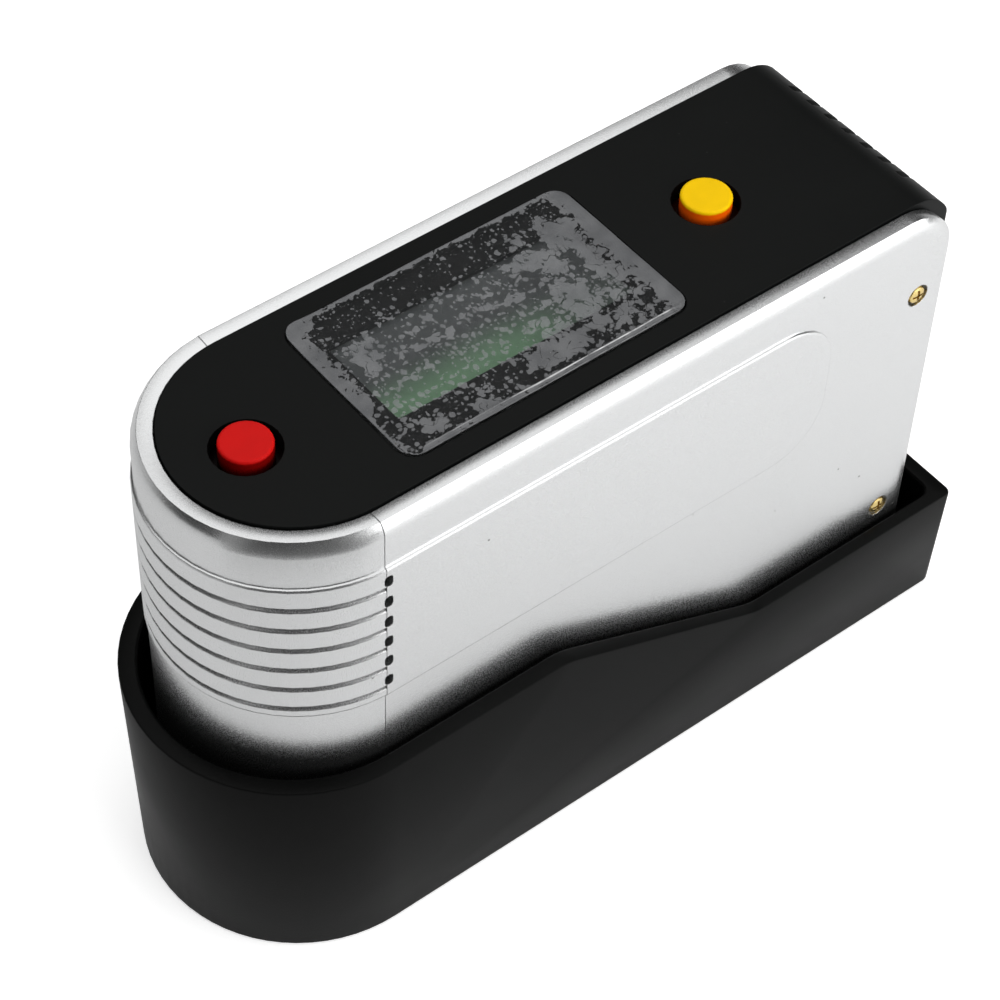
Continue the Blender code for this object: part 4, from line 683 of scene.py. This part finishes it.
def set_card():
    """A dark screen by the round nose, a painted glow at its foot and ends, seen only in reflections.
    """
    look = Look("dark_screen")
    look.fixed(Roughness=0.9, Specular_IOR_Level=0.0)
    x, y, z = look.axes()
    look.colour(look.blend(look.noise(30.0 * MM), (0.004, 0.004, 0.004), (0.008, 0.008, 0.008)))
    # painted glow: the screen gives off light of its own, most at its foot, low down and at its two
    # ends
    foot = look.spread(z, 0.0, 0.05, 0.16, 0.0)
    rise = look.spread(z, 0.0, 0.13, 0.17, 0.02)
    left = look.spread(y, -0.06, -0.018, 0.0, 0.36, smooth=True)
    right = look.spread(x, NOSE_X - 0.035, NOSE_X + 0.012, 0.0, 0.3, smooth=True)
    look.glow(look.most(look.plus(foot, rise), left, right))

    angles = [math.radians(SCREEN_FROM + (SCREEN_TO - SCREEN_FROM) * i / SCREEN_STEPS_ROUND)
              for i in range(SCREEN_STEPS_ROUND + 1)]
    heights = [SCREEN_HEIGHT * j / SCREEN_STEPS_UP for j in range(SCREEN_STEPS_UP + 1)]
    rows = [[(NOSE_X + SCREEN_RADIUS * math.cos(angle), SCREEN_RADIUS * math.sin(angle), height)
             for angle in angles] for height in heights]
    card = grid_piece("dark_screen", rows, look.material)
    card.visible_camera = False
    card.visible_diffuse = False
    card.visible_shadow = False


def lamp(name, place, size, power, aim):
    data = bpy.data.lights.new(name, 'AREA')
    data.shape = 'RECTANGLE'
    data.size, data.size_y = size
    data.energy = power
    item = bpy.data.objects.new(name, data)
    bpy.context.scene.collection.objects.link(item)
    item.location = place
    item.rotation_euler = (Vector(aim) - Vector(place)).to_track_quat('-Z', 'Y').to_euler()
    item.visible_camera = False


def set_world():
    """White to the camera, even light to surfaces, and dim with a pale band to reflections."""
    world = bpy.data.worlds.new("studio")
    world.use_nodes = True
    nodes = Nodes(world.node_tree)
    path = nodes.new("LightPath")
    direction = nodes.new("TexCoord").outputs["Generated"]
    band = nodes.spread(nodes.split(direction)[2], BAND_HEIGHT, 0.0, DIM, BAND_LEVEL, smooth=True)
    behind = nodes.new("VectorMath")
    behind.operation = 'DOT_PRODUCT'
    behind.inputs[1].default_value = BAND_TOWARDS
    nodes.link(direction, behind.inputs[0])
    rear = nodes.spread(behind.outputs["Value"], *BAND_REAR, BAND_FRONT_SHARE, 1.0, smooth=True)
    mirrored = nodes.mirrored(path)
    seen = nodes.times(mirrored, nodes.times(band, rear))
    ambient = nodes.plus(nodes.times(mirrored, DIM - AMBIENT), AMBIENT)
    level = nodes.most(path.outputs["Is Camera Ray"], seen, ambient)
    background = world.node_tree.nodes["Background"]
    nodes.link(nodes.blend(level, BLACK, WHITE), background.inputs["Color"])
    bpy.context.scene.world = world


def set_camera():
    """The photograph's camera."""
    azimuth, elevation, roll = (math.radians(v) for v in (VIEW_AZIMUTH, VIEW_ELEVATION, VIEW_ROLL))
    back = Vector((math.sin(azimuth) * math.cos(elevation),
                   -math.cos(azimuth) * math.cos(elevation), math.sin(elevation)))
    right = Vector((math.cos(azimuth), math.sin(azimuth), 0.0))
    up = back.cross(right)
    across = math.cos(roll) * right + math.sin(roll) * up
    upward = math.cos(roll) * up - math.sin(roll) * right
    place = Vector((NOSE_X, 0.0, COVER_TOP)) + VIEW_TARGET + back * VIEW_DISTANCE
    data = bpy.data.cameras.new("camera")
    data.lens = VIEW_LENS
    data.sensor_width = VIEW_SENSOR
    data.clip_start = 0.01
    item = bpy.data.objects.new("camera", data)
    bpy.context.scene.collection.objects.link(item)
    rows = [(across[i], upward[i], back[i], place[i]) for i in range(3)]
    item.matrix_world = Matrix((*rows, (0.0, 0.0, 0.0, 1.0)))
    bpy.context.scene.camera = item


dress()
film_sheet()
set_stage()
set_card()
lamp("overhead", (0.1, 0.1, 0.65), (0.88, 0.88), 2.7, (0.1, 0.1, 0.0))
lamp("right_side", (0.2, -0.42, 0.2), (0.62, 0.36), 1.9, (0.1, 0.0, 0.06))
set_world()
set_camera()
bpy.context.scene.view_settings.view_transform = 'Standard'
